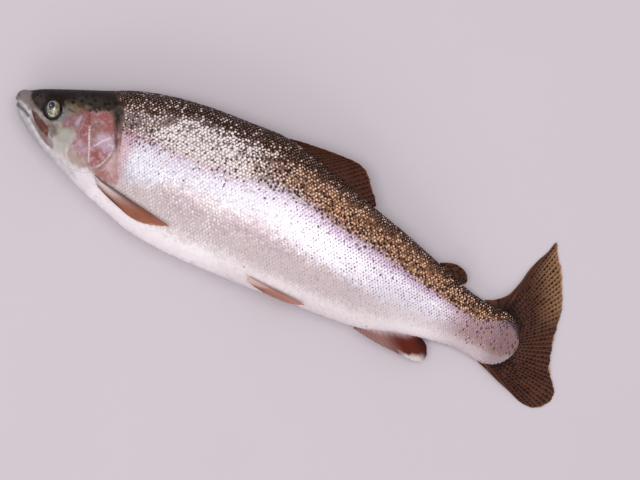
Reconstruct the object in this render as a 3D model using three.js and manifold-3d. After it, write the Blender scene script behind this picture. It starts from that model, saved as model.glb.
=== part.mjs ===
// A life-size rainbow trout, lying on its right side on a flat surface.
//
// Millimetres. +X runs from the snout to the tail, +Y from the belly to the back, and +Z up, out of
// the left flank, with the surface that the fish lies on at Z 0. Shapes are drawn in fish
// coordinates, with X 0 at the corner of the mouth's front, and the last group moves the whole fish
// so that the origin is under the middle of its box.

import * as THREE from 'three';
import { LoftGeometry } from 'three/addons/geometries/LoftGeometry.js';
import { mergeVertices } from 'three/addons/utils/BufferGeometryUtils.js';
import Module from 'manifold-3d';

const wasm = await Module();
wasm.setup();

// ---------------------------------------------------------------- driving sizes

const NOSE_TIP = -2;        // front of the snout
const BODY_END = 481;       // end of the tail stalk
const TAIL_REACH = 71.5;    // tip of the upper tail lobe above the fish's own level
const BELLY_REACH = -72;    // lowest point of the belly
const NOSE_ROUND = 5.5;     // length over which the snout rounds off
const STALK_ROUND = 26;     // length over which the tail stalk rounds off under the fin rays
const CUT = 0.35;           // width of the thin cuts that part the body, and gap between pieces
const RINGS = 40;           // sections along the body
const SIDES = 28;           // points round each section
const END_RING = 0.02;      // distance of the first and last sections from the body's two ends
const UNDER = -10;          // heights that clear the whole fish, for cuts right through it
const OVER = 80;
const HALFWAY = 25;         // a height between the two flanks

const EYE = { x: 33.1, y: 1.8, radii: [8, 8.3, 5.8], showing: 2.3 };
const PLATE = { proud: 1.1, deep: 2.6 };        // gill covers, against the head's own surface
const JAW_PLATE = { proud: 0.9, deep: 1.6 };    // upper jaw bones, against the same

// Cuts across the body, as the X of each thin slot.
const JAW_HINGE = 46;
const SHOULDER_CUT = 178;
const VENT_CUT = 292;
const STALK_CUT = 402;

const COLOURS = {
  back: 0x4d4335,
  flank: 0xc9c6c8,
  belly: 0xe6e1dc,
  head: 0x8f8b7c,
  jaw: 0xd8d3cd,
  gill: 0xc58f88,
  eye: 0xb9ae84,
  darkFin: 0x4a332b,
  redFin: 0xb0624c,
};

// ---------------------------------------------------------------- small helpers

// A smooth curve through [x, value] stations: a cubic between each two, held flat past the ends.
function profile(stations) {
  const slope = (i, j) => (stations[j][1] - stations[i][1]) / (stations[j][0] - stations[i][0]);
  const last = stations.length - 1;
  const tangents = stations.map(([x], i) => {
    if (i === 0) return slope(0, 1);
    if (i === last) return slope(last - 1, last);
    const before = x - stations[i - 1][0];
    const after = stations[i + 1][0] - x;
    return (slope(i, i + 1) * before + slope(i - 1, i) * after) / (before + after);
  });
  return (x) => {
    if (x <= stations[0][0]) return stations[0][1];
    if (x >= stations[last][0]) return stations[last][1];
    const i = stations.findIndex(([start]) => start > x) - 1;
    const span = stations[i + 1][0] - stations[i][0];
    const t = (x - stations[i][0]) / span;
    const u = 1 - t;
    return u * u * (1 + 2 * t) * stations[i][1] + t * u * u * span * tangents[i]
      + t * t * (3 - 2 * t) * stations[i + 1][1] - t * t * u * span * tangents[i + 1];
  };
}

const signedPower = (value, power) => Math.sign(value) * Math.abs(value) ** power;

const smoothStep = (t) => THREE.MathUtils.smoothstep(t, 0, 1);

const spline = (points) => new THREE.SplineCurve(points.map(([x, y]) => new THREE.Vector2(x, y)));

// A closed geometry as a solid that can be cut and joined.
function solidOf(geometry) {
  const bare = geometry.index ? geometry.toNonIndexed() : geometry.clone();
  bare.deleteAttribute('normal');
  bare.deleteAttribute('uv');
  const merged = mergeVertices(bare, 1e-4);
  const corners = merged.index.array;
  const kept = [];
  for (let i = 0; i < corners.length; i += 3) {
    const [a, b, c] = corners.subarray(i, i + 3);
    if (a !== b && b !== c && c !== a) kept.push(a, b, c);
  }
  return new wasm.Manifold(new wasm.Mesh({
    numProp: 3,
    vertProperties: merged.attributes.position.array,
    triVerts: new Uint32Array(kept),
  }));
}

// A solid as a named mesh of one colour.
function meshOf(name, solid, colour, roughness = 0.45, metalness = 0) {
  const cut = solid.getMesh();
  const geometry = new THREE.BufferGeometry();
  geometry.setAttribute('position', new THREE.BufferAttribute(cut.vertProperties, 3));
  geometry.setIndex(new THREE.BufferAttribute(cut.triVerts, 1));
  geometry.computeVertexNormals();
  const mesh = new THREE.Mesh(geometry, new THREE.MeshStandardMaterial({
    color: colour, roughness, metalness,
  }));
  mesh.name = name;
  return mesh;
}

// The largest of a solid's separate bodies, without the crumbs that a cut can leave.
function largest(solid) {
  return solid.decompose().sort((a, b) => b.volume() - a.volume())[0];
}

// Everything inside an outline drawn on the fish's side, between two heights.
function prism(points, low, high) {
  const geometry = new THREE.ExtrudeGeometry(new THREE.Shape(points), {
    depth: high - low, bevelEnabled: false, curveSegments: 1,
  });
  return solidOf(geometry.translate(0, 0, low));
}

// ---------------------------------------------------------------- the body's own form

const FORM = {
  // Height of the back and of the belly line over the snout's level.
  back: profile([[0, 8], [8, 10], [15, 14], [30, 20.6], [50, 28.6], [70, 36.6], [90, 45.3],
    [120, 53.3], [150, 57.9], [190, 60], [228, 60.4], [255, 54.2], [285, 45.2], [320, 35.3],
    [350, 27], [380, 17.2], [400, 10.3], [430, 1.4], [445, -0.6], [481, 2]]),
  belly: profile([[0, -5], [5, -12.6], [15, -20.6], [30, -29.6], [50, -38.8], [80, -50.8],
    [105, -59.4], [130, -67], [150, -70.3], [205, BELLY_REACH], [250, -70.8], [300, -68.5],
    [335, -66.4], [350, -64.4], [375, -56.6], [400, -51.3], [430, -47.8], [450, -49.8], [481, -53]]),
  // Half the thickness through the flanks.
  half: profile([[0, 7.4], [10, 10.8], [20, 14], [35, 18.3], [50, 22.3], [70, 27], [90, 29.8],
    [130, 31.6], [180, 33.4], [220, 33.4], [260, 32], [300, 29], [340, 24.4], [370, 19.8],
    [400, 14.8], [430, 10.7], [460, 7.2], [481, 5]]),
  // Height of the middle plane over the surface that the fish lies on.
  middle: profile([[0, 22], [30, 24], [60, 25.6], [100, 27], [150, 28.6], [200, 29.9], [240, 29.5],
    [280, 27.3], [320, 23.9], [360, 18.8], [400, 12.8], [430, 9.2], [460, 6], [481, 4]]),
  // How square the lower flank is: 2 is a plain ellipse.
  lowerPower: profile([[0, 2], [60, 1.85], [110, 2], [200, 2.3], [330, 2.2], [420, 2], [481, 2]]),
};
const UPPER_POWER = 2.08;
const WIDEST_SHARE = 0.48;  // where the body is widest, as a share of its depth down from the back
const SNOUT_LEVEL = 1;
const REST_FILLET = 2.2;    // how softly the flank turns into the flat that it lies on

// Shrinks the sections towards the blunt ends of the snout and the tail stalk.
function endShare(x) {
  const fromNose = Math.min((x - NOSE_TIP) / NOSE_ROUND, 1);
  const fromStalk = Math.min((BODY_END - x) / STALK_ROUND, 1);
  return Math.sqrt(1 - (1 - fromNose) ** 2) * Math.sqrt(1 - (1 - fromStalk) ** 2);
}

// The section's sizes at x, grown outwards by some millimetres.
function sectionAt(x, grow) {
  const share = endShare(x);
  const level = x < BODY_END / 2 ? SNOUT_LEVEL : -25.5;
  const top = Math.max(level + (FORM.back(x) - level) * share + grow, level + 0.3);
  const bottom = Math.min(level + (FORM.belly(x) - level) * share - grow, level - 0.3);
  const thin = x < BODY_END / 2 ? share : Math.sqrt(share);
  return {
    top,
    bottom,
    widest: top - (top - bottom) * WIDEST_SHARE,
    half: Math.max(FORM.half(x) * thin + grow, 0.3),
    middle: FORM.middle(x),
    lowerPower: FORM.lowerPower(x),
  };
}

// Keeps a height over the floor: flat below it, with a soft turn into the flat.
function restOn(floor, z) {
  const over = z - floor;
  if (over <= -REST_FILLET) return floor;
  if (over >= REST_FILLET) return z;
  return floor + (over + REST_FILLET) ** 2 / (4 * REST_FILLET);
}

// A point on the body. Angle 0 is the middle of the left flank, and a quarter turn the back.
function bodyPoint(x, angle, grow = 0) {
  const s = sectionAt(x, grow);
  const reach = angleIsUpper(angle) ? s.top - s.widest : s.widest - s.bottom;
  const power = 2 / (angleIsUpper(angle) ? UPPER_POWER : s.lowerPower);
  const y = s.widest + reach * signedPower(Math.sin(angle), power);
  const z = s.middle + s.half * signedPower(Math.cos(angle), power);
  return new THREE.Vector3(x, y, restOn(Math.max(0, -grow), z));
}

const angleIsUpper = (angle) => Math.sin(angle) >= 0;

// The angle at which the left flank passes a height y at x.
function angleOf(x, y) {
  const s = sectionAt(x, 0);
  const upper = y >= s.widest;
  const share = (y - s.widest) / (upper ? s.top - s.widest : s.widest - s.bottom);
  const power = (upper ? UPPER_POWER : s.lowerPower) / 2;
  return Math.asin(signedPower(THREE.MathUtils.clamp(share, -0.995, 0.995), power));
}

// The whole body as one solid, grown or shrunk by some millimetres.
function bodySolid(grow) {
  const sections = [];
  for (let i = 0; i <= RINGS; i++) {
    const share = (1 - Math.cos((Math.PI * i) / RINGS)) / 2;
    const even = THREE.MathUtils.lerp(NOSE_TIP, BODY_END, share);
    const x = THREE.MathUtils.clamp(even, NOSE_TIP + END_RING, BODY_END - END_RING);
    const ring = [];
    for (let k = 0; k < SIDES; k++) ring.push(bodyPoint(x, Math.PI - (2 * Math.PI * k) / SIDES, grow));
    sections.push(ring);
  }
  return solidOf(new LoftGeometry(sections, { capStart: true, capEnd: true }));
}

// ---------------------------------------------------------------- outlines on the side of the head

// The mouth, from in front of the snout to the hinge of the jaw.
const GAPE = spline([[-6, -2.6], [3, -5], [9, -7.4], [16, -11.6], [26, -19], [36, -25.6], [47, -30.6]]);

const JAW_BONE = spline([[12.4, -5.4], [17, -4.6], [26, -8.8], [36, -15.2], [43.6, -21.6],
  [46.6, -26.6], [43.6, -28.8], [35, -24.8], [25, -18.2], [16, -10.8], [12.4, -5.4]]);

const GILL_PLATE = spline([[62.5, 12], [70, 17.6], [80, 19.6], [86, 15.4], [91, 4.4], [95.6, -5],
  [94.6, -15], [91, -26], [86.4, -33], [76, -34.6], [64, -32.6], [57.6, -27], [60.4, -14],
  [61.6, 0], [62.5, 12]]);

// Where the head meets the trunk: down the nape, along the gill opening and across the throat.
const NECK_LINE = spline([[77, 60], [81, 38], [84, 20], [87, 8], [91, -5], [89.5, -18], [86, -30],
  [85, -40], [86, -62]]);

// A thin slot along a curve, through the whole body.
function slotAlong(curve, steps, width = CUT) {
  const left = [];
  const right = [];
  for (let i = 0; i <= steps; i++) {
    const p = curve.getPoint(i / steps);
    const along = curve.getTangent(i / steps);
    const side = new THREE.Vector2(-along.y, along.x).multiplyScalar(width / 2);
    left.push(p.clone().add(side));
    right.unshift(p.clone().sub(side));
  }
  return prism([...left, ...right], UNDER, OVER);
}

// Everything between two distances from the snout, and between two levels on the fish's side.
function block(start, end, bottom = -90, top = 80) {
  const outline = [[start, bottom], [end, bottom], [end, top], [start, top]];
  return prism(outline.map(([x, y]) => new THREE.Vector2(x, y)), UNDER, OVER);
}

const slotAcross = (x) => block(x, x + CUT);

// The closed outline of a plate, grown by some millimetres from its own middle.
function plateOutline(curve, steps, grow = 0) {
  const points = curve.getPoints(steps).slice(0, -1);
  const centre = points.reduce((sum, p) => sum.add(p), new THREE.Vector2()).divideScalar(points.length);
  return points.map((p) => {
    const out = p.clone().sub(centre);
    return p.clone().add(out.setLength(grow));
  });
}

// ---------------------------------------------------------------- fins

// A fin as a thin sheet of rays, from a box whose corners are moved. base(u) and margin(u) are where
// the ray at share u starts and ends, and place(p, ray, side) turns a point on the fish's side into
// one on that face of the sheet.
function finSolid({ base, margin, place, rays = 16, rows = 4 }) {
  const sheet = (turned) => {
    const box = new THREE.BoxGeometry(1, 1, 2, rays, rows, 1);
    const corner = box.attributes.position;
    for (let i = 0; i < corner.count; i++) {
      const u = 0.5 + corner.getX(i) * turned;
      const along = 0.5 + corner.getY(i);
      const from = base(u);
      const to = margin(u);
      const ray = { from, along, length: from.distanceTo(to) * along };
      const point = place(from.clone().lerp(to, along), ray, corner.getZ(i));
      corner.setXYZ(i, point.x, point.y, point.z);
    }
    return solidOf(box);
  };
  const solid = sheet(1);
  return solid.volume() > 0 ? solid : sheet(-1);
}

// A fin on the middle plane, which droops towards the surface over its own length.
function middleFin({ thick, droop, ...sheet }) {
  return finSolid({
    ...sheet,
    place(p, { from, along, length }, side) {
      const half = THREE.MathUtils.lerp(thick[0], thick[1], along) / 2;
      const rest = Math.max(droop.to, half);
      const z = THREE.MathUtils.lerp(FORM.middle(from.x), rest, smoothStep(length / droop.over));
      return new THREE.Vector3(p.x, p.y, z + side * half);
    },
  });
}

// A paired fin folded back against the flank: flank 1 is the left side and -1 the right one.
function pairedFin({ thick, lift, flank, ...sheet }) {
  return finSolid({
    ...sheet,
    place(p, { along }, side) {
      const half = THREE.MathUtils.lerp(thick[0], thick[1], along) / 2;
      const out = THREE.MathUtils.lerp(lift[0], lift[1], along ** 1.5);
      const angle = angleOf(p.x, p.y);
      const point = bodyPoint(p.x, flank > 0 ? angle : Math.PI - angle, out + side * half);
      if (flank < 0) point.z = Math.max(point.z, 0.02 + half * (1 - side));
      return point;
    },
  });
}

// A base line that follows the back or the belly, sunk a little into the body.
function baseAlong(line, from, to, sunk, bunching = 1) {
  return (u) => {
    const x = THREE.MathUtils.lerp(from, to, u ** bunching);
    return new THREE.Vector2(x, line(x) + sunk);
  };
}

function baseBetween([x1, y1], [x2, y2]) {
  return (u) => new THREE.Vector2(x1, y1).lerp(new THREE.Vector2(x2, y2), u);
}

const through = (points) => {
  const curve = spline(points);
  return (u) => curve.getPoint(u);
};

// The roots of the tail rays lie on an arc inside the end of the tail stalk.
function tailRoots(u) {
  const angle = THREE.MathUtils.lerp(1.75, -1.75, u);
  return new THREE.Vector2(456 + 15 * Math.cos(angle), -25.5 + 20 * Math.sin(angle));
}

const TAIL_MARGIN = [[437.5, 0.6], [447, 5.4], [455.4, 14], [460.3, 27], [463, 40], [466.4, 50],
  [471.6, 61], [475.2, TAIL_REACH], [481, 61.5], [489.5, 50], [499, 30], [503.6, 17], [505, 5],
  [508, -12], [512, -27], [518, -38], [524.6, -46.4], [526, -54.5], [521.6, -63.4],
  [513, -68.4], [502, -68], [490, -63.6], [478, -59.6], [465, -54.6], [453, -50.4]];

const DORSAL_MARGIN = [[229, 60.8], [240, 62.5], [257, 64.1], [274, 65.1], [289, 65.3], [297, 63.4],
  [302.6, 59.4], [307, 54.6], [310.6, 49.6], [315, 45], [317.8, 41], [319.6, 37.4]];

const ADIPOSE_MARGIN = [[390, 15], [396, 17.6], [402.6, 19], [409.4, 18], [414.6, 14.8], [417.4, 10],
  [416.4, 6.4], [412.4, 5.4]];

const ANAL_MARGIN = [[343.6, -67], [353, -68.8], [366, -70.4], [381, -71.5], [395, -71.8],
  [404, -71.6], [410.2, -68.6], [411, -63.6], [409.2, -58], [406.2, -54.2], [402, -52.6]];

const PECTORAL_MARGIN = [[165, -48], [156, -51.4], [147, -53.8], [138, -55], [128, -53.8],
  [117, -50.2], [106, -46.2], [97, -42.4]];

const PELVIC_MARGIN = [[297, -63], [289, -66], [276, -67.8], [262, -67.4], [251, -65.6]];

// ---------------------------------------------------------------- the pieces

const whole = bodySolid(0);
const nodes = [];
const add = (name, solid, colour, ...finish) => nodes.push(meshOf(name, largest(solid), colour, ...finish));

// Eyes: flattened balls in sockets a hair larger than themselves.
function eyeBall(flank, grow = 0) {
  const surface = bodyPoint(EYE.x, flank > 0 ? angleOf(EYE.x, EYE.y) : Math.PI - angleOf(EYE.x, EYE.y));
  const ball = new THREE.SphereGeometry(1, 18, 10);
  ball.scale(...EYE.radii.map((r) => r + grow));
  const depth = (EYE.radii[2] - EYE.showing) * flank;
  return solidOf(ball.translate(EYE.x, EYE.y, surface.z - depth));
}

// The part of a plate's layer between its own depth and how proud it stands of the head.
function plateSolid(outline, size, flank) {
  const column = flank > 0 ? prism(outline, HALFWAY, OVER) : prism(outline, -0.001, HALFWAY);
  return column.intersect(bodySolid(size.proud)).subtract(bodySolid(-size.deep));
}

function plateRecess(outline, size, flank) {
  const column = flank > 0 ? prism(outline, HALFWAY, OVER) : prism(outline, UNDER, HALFWAY);
  return column.subtract(bodySolid(-(size.deep + CUT)));
}

const gillOutline = plateOutline(GILL_PLATE, 30);
const gillRecess = plateOutline(GILL_PLATE, 30, CUT);
const jawOutline = plateOutline(JAW_BONE, 18);
const jawRecess = plateOutline(JAW_BONE, 18, CUT);

let flesh = whole;
for (const flank of [1, -1]) {
  flesh = flesh
    .subtract(eyeBall(flank, CUT))
    .subtract(plateRecess(gillRecess, PLATE, flank))
    .subtract(plateRecess(jawRecess, JAW_PLATE, flank));
  const side = flank > 0 ? 'left' : 'right';
  add(`eye_${side}`, eyeBall(flank), COLOURS.eye, 0.12);
  add(`gill_cover_${side}`, plateSolid(gillOutline, PLATE, flank), COLOURS.gill, 0.35);
  add(`upper_jaw_${side}`, plateSolid(jawOutline, JAW_PLATE, flank), COLOURS.jaw, 0.4);
}

// The head and the lower jaw, parted by the mouth and by the hinge of the jaw.
const neck = NECK_LINE.getPoints(16);
const headSide = prism([...neck, new THREE.Vector2(-20, -62), new THREE.Vector2(-20, 60)].reverse(),
  UNDER, OVER);
const headFlesh = flesh.intersect(headSide);
const gape = GAPE.getPoints(12);
const jawSide = prism([...gape, new THREE.Vector2(JAW_HINGE, -60), new THREE.Vector2(-8, -60)].reverse(),
  UNDER, OVER);
add('lower_jaw', headFlesh.intersect(jawSide), COLOURS.jaw, 0.4);
add('head', headFlesh
  .subtract(jawSide)
  .subtract(slotAlong(GAPE, 12, 2 * CUT))
  .subtract(block(JAW_HINGE, JAW_HINGE + CUT, -60, -29)), COLOURS.head, 0.4);

// The trunk in three lengths, and the tail stalk.
let trunk = flesh.subtract(headSide).subtract(slotAlong(NECK_LINE, 16, 2 * CUT));
const lengths = [
  ['trunk_front', SHOULDER_CUT, COLOURS.flank],
  ['trunk_middle', VENT_CUT, COLOURS.flank],
  ['trunk_rear', STALK_CUT, COLOURS.flank],
  ['tail_stalk', BODY_END + 20, COLOURS.flank],
];
for (const [name, end, colour] of lengths) {
  const before = block(0, end);
  add(name, trunk.intersect(before), colour, 0.35, 0.3);
  trunk = trunk.subtract(before).subtract(slotAcross(end));
}

// Fins, each nested on the body with a hairline gap.
const clear = bodySolid(CUT);
const fins = [
  ['dorsal_fin', COLOURS.darkFin, middleFin({
    base: baseAlong(FORM.back, 226, 316, -4, 1.5),
    margin: through(DORSAL_MARGIN),
    thick: [2.4, 0.9],
    droop: { over: 90, to: 15 },
    rays: 22,
  })],
  ['adipose_fin', COLOURS.darkFin, middleFin({
    base: baseAlong(FORM.back, 389, 408, -3),
    margin: through(ADIPOSE_MARGIN),
    thick: [3, 1.6],
    droop: { over: 60, to: 8 },
    rays: 14,
    rows: 3,
  })],
  ['anal_fin', COLOURS.redFin, middleFin({
    base: baseAlong(FORM.belly, 343, 396, 4, 1.2),
    margin: through(ANAL_MARGIN),
    thick: [2.4, 0.9],
    droop: { over: 80, to: 5 },
    rays: 20,
    rows: 3,
  })],
  ['tail_fin', COLOURS.darkFin, middleFin({
    base: tailRoots,
    margin: through(TAIL_MARGIN),
    thick: [3.6, 1],
    droop: { over: 62, to: 0 },
    rays: 24,
  })],
];
for (const flank of [1, -1]) {
  const side = flank > 0 ? 'left' : 'right';
  // The right pectoral fin is pushed towards the belly, because the fish lies on its root.
  const push = flank > 0 ? 0 : -4.5;
  const pushed = (points) => points.map(([x, y]) => [x, y + push]);
  fins.push([`pectoral_fin_${side}`, COLOURS.redFin, pairedFin({
    base: baseBetween([88.5, -35 + push], [92, -40.5 + push]),
    margin: through(pushed(PECTORAL_MARGIN)),
    thick: [1.7, 0.7],
    lift: [1.4, flank > 0 ? 2.4 : 1.4],
    flank,
    rows: 3,
  })]);
  fins.push([`pelvic_fin_${side}`, COLOURS.redFin, pairedFin({
    base: baseBetween([240.5, -60.6], [244, -64.6]),
    margin: through(PELVIC_MARGIN),
    thick: [1.7, 0.7],
    lift: [1.4, 2.2],
    flank,
    rays: 12,
    rows: 3,
  })]);
}
for (const [name, colour, solid] of fins) add(name, solid.subtract(clear), colour, 0.4);

const fish = new THREE.Group();
fish.name = 'trout';
fish.add(...nodes);
const box = new THREE.Box3().setFromObject(fish);
const middle = box.getCenter(new THREE.Vector3());
fish.position.set(-middle.x, -middle.y, -box.min.z);

const part = new THREE.Group();
part.add(fish);

export default part;
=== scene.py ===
"""A life-size rainbow trout lying on its right side, in a soft studio.

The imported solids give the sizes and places. One skin replaces all the flesh nodes, a coat of solid
scales lies over it, and the fins and eyes are pieces of their own. Shapes are worked out in
millimetres on the fish: x runs from the snout to the tail, y from the belly to the back, and z up
from the surface that the fish lies on, out of its left flank.
"""

import logging
import math
from collections.abc import Callable, Iterator
from dataclasses import dataclass, field
from enum import Enum
from functools import cached_property

import bpy
import numpy as np
from mathutils import Matrix, Vector


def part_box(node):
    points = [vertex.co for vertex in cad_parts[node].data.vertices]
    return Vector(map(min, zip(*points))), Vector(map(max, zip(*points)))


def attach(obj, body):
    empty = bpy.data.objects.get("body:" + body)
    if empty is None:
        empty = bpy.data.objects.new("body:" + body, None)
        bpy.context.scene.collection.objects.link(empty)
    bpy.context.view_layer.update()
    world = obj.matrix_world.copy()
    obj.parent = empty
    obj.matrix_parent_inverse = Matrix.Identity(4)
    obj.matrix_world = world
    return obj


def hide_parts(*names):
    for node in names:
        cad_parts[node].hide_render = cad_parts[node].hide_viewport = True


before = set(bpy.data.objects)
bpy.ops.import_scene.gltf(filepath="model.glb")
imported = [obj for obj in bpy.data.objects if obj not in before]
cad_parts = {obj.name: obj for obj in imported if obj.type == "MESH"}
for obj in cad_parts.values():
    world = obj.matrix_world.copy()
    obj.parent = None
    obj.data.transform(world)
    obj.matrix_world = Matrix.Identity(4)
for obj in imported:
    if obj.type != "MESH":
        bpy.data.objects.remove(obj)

log = logging.getLogger("trout")

Array = np.ndarray
Numbers = float | Array
Pair = tuple[float, float]
Colour = tuple[float, float, float]

Piece = bpy.types.Object
Finish = bpy.types.Material

MM = 0.001
FULL_TURN = 2 * math.pi


class Flank(Enum):
    """The two sides of the fish."""

    LEFT = 1
    RIGHT = -1


class Slot(Enum):
    """The record's material slots."""

    HEAD = "head_skin"
    SCALED = "scaled_skin"
    EYE = "eye"
    DARK_FIN = "dark_fin"
    RED_FIN = "red_fin"


# ---------------- arithmetic on shapes


def ease(value: Numbers, low: float, high: float) -> Numbers:
    """A smooth step from 0 at low to 1 at high, which may be the smaller."""
    t = np.clip((value - low) / (high - low), 0.0, 1.0)
    return t * t * (3.0 - 2.0 * t)


def lerp(a: Numbers, b: Numbers, t: Numbers) -> Numbers:
    """The blend of a and b at share t."""
    return a + (b - a) * t


def bell(value: Numbers, width: float, power: int = 2) -> Numbers:
    """A hump that is 1 at 0 and falls away over a width."""
    return np.exp(-((value / width) ** power))


def signed_power(value: Numbers, power: Numbers) -> Numbers:
    """The power of a number's size, with its sign kept."""
    return np.sign(value) * np.abs(value) ** power


@dataclass(frozen=True)
class Profile:
    """A smooth curve through (x, value) stations."""

    stations: tuple[Pair, ...]

    def __call__(self, x: Numbers) -> Numbers:
        """Reads the curve, which is held flat past its ends.

        Args:
            x: where to read it.

        Returns:
            The curve's values there.
        """
        at, value = np.array(self.stations, float).T
        slope = np.diff(value) / np.diff(at)
        span = np.diff(at)
        inner = (slope[1:] * span[:-1] + slope[:-1] * span[1:]) / (span[1:] + span[:-1])
        tangent = np.concatenate([slope[:1], inner, slope[-1:]])
        x = np.clip(np.asarray(x, float), at[0], at[-1])
        i = np.clip(np.searchsorted(at, x, side="right") - 1, 0, len(span) - 1)
        t = (x - at[i]) / span[i]
        u = 1.0 - t
        ends = u * u * (1 + 2 * t) * value[i] + t * t * (3 - 2 * t) * value[i + 1]
        return ends + t * u * span[i] * (u * tangent[i] - t * tangent[i + 1])


class Line:
    """A smooth line drawn through points on the side of the fish."""

    def __init__(self, points: tuple[Pair, ...], closed: bool = False, steps: int = 90) -> None:
        """Samples the line.

        Args:
            points: (x, y) places that it passes, in order.
            closed: whether it comes back to its start.
            steps: how many samples it gets.
        """
        knots = np.array(points, float)
        last = len(knots) if closed else len(knots) - 1
        t = np.linspace(0, last, steps + 1)
        i = np.minimum(t.astype(int), last - 1)
        part = (t - i)[:, None]

        def knot(k: Array) -> Array:
            """The points numbered k, past the line's ends too."""
            return knots[k % len(knots)] if closed else knots[np.clip(k, 0, len(knots) - 1)]

        a, b, c, d = knot(i - 1), knot(i), knot(i + 1), knot(i + 2)
        self.samples = 0.5 * (
            2 * b
            + (c - a) * part
            + (2 * a - 5 * b + 4 * c - d) * part**2
            + (3 * b - a - 3 * c + d) * part**3
        )
        length = np.linalg.norm(np.diff(self.samples, axis=0), axis=1)
        self.reach = np.concatenate([[0], np.cumsum(length)])

    def at(self, share: Numbers) -> Array:
        """Points at shares of the line's length."""
        where = np.asarray(share, float) * self.reach[-1]
        return np.stack([np.interp(where, self.reach, self.samples[:, k]) for k in (0, 1)], axis=-1)

    def measure(self, x: Array, y: Array) -> tuple[Array, Array]:
        """How points lie against the line.

        Args:
            x, y: the points.

        Returns:
            The distance, positive on the left of the line's way, and the share along it.
        """
        best = np.full(np.shape(x), 1e9)
        side = np.ones(np.shape(x))
        share = np.zeros(np.shape(x))
        for (x0, y0), (x1, y1), start in zip(self.samples, self.samples[1:], self.reach):
            dx, dy = x1 - x0, y1 - y0
            size = max(dx * dx + dy * dy, 1e-9)
            t = np.clip(((x - x0) * dx + (y - y0) * dy) / size, 0, 1)
            away = np.hypot(x - x0 - t * dx, y - y0 - t * dy)
            near = away < best
            best = np.where(near, away, best)
            side = np.where(near, np.sign(dx * (y - y0) - dy * (x - x0)), side)
            share = np.where(near, (start + t * math.sqrt(size)) / self.reach[-1], share)
        return best * side, share

    def inside(self, x: Array, y: Array, soft: float) -> Array:
        """How far inside a closed line points are.

        Args:
            x, y: the points.
            soft: how far the edge fades to either side.

        Returns:
            1 inside and 0 outside.
        """
        away = np.abs(self.measure(x, y)[0])
        crossed = np.zeros(np.shape(x), bool)
        for (x0, y0), (x1, y1) in zip(self.samples, self.samples[1:]):
            spans = (y0 > y) != (y1 > y)
            crossed ^= spans & (x < (x1 - x0) * (y - y0) / (y1 - y0 + 1e-12) + x0)
        return ease(np.where(crossed, away, -away), -soft, soft)


# ---------------- the fish's own form


@dataclass
class Section:
    """The sizes of one cross-section of the body, or of many at once."""

    top: Array
    bottom: Array
    half: Array
    middle: Array
    lower_power: Array

    @property
    def widest(self) -> Array:
        """Height on the fish's side at which it is thickest."""
        return self.top - (self.top - self.bottom) * Body.widest_share

    def reach(self, upper: Array) -> Array:
        """How far it goes from its thickest height to the back, or to the belly."""
        return np.where(upper, self.top - self.widest, self.widest - self.bottom)


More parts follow.
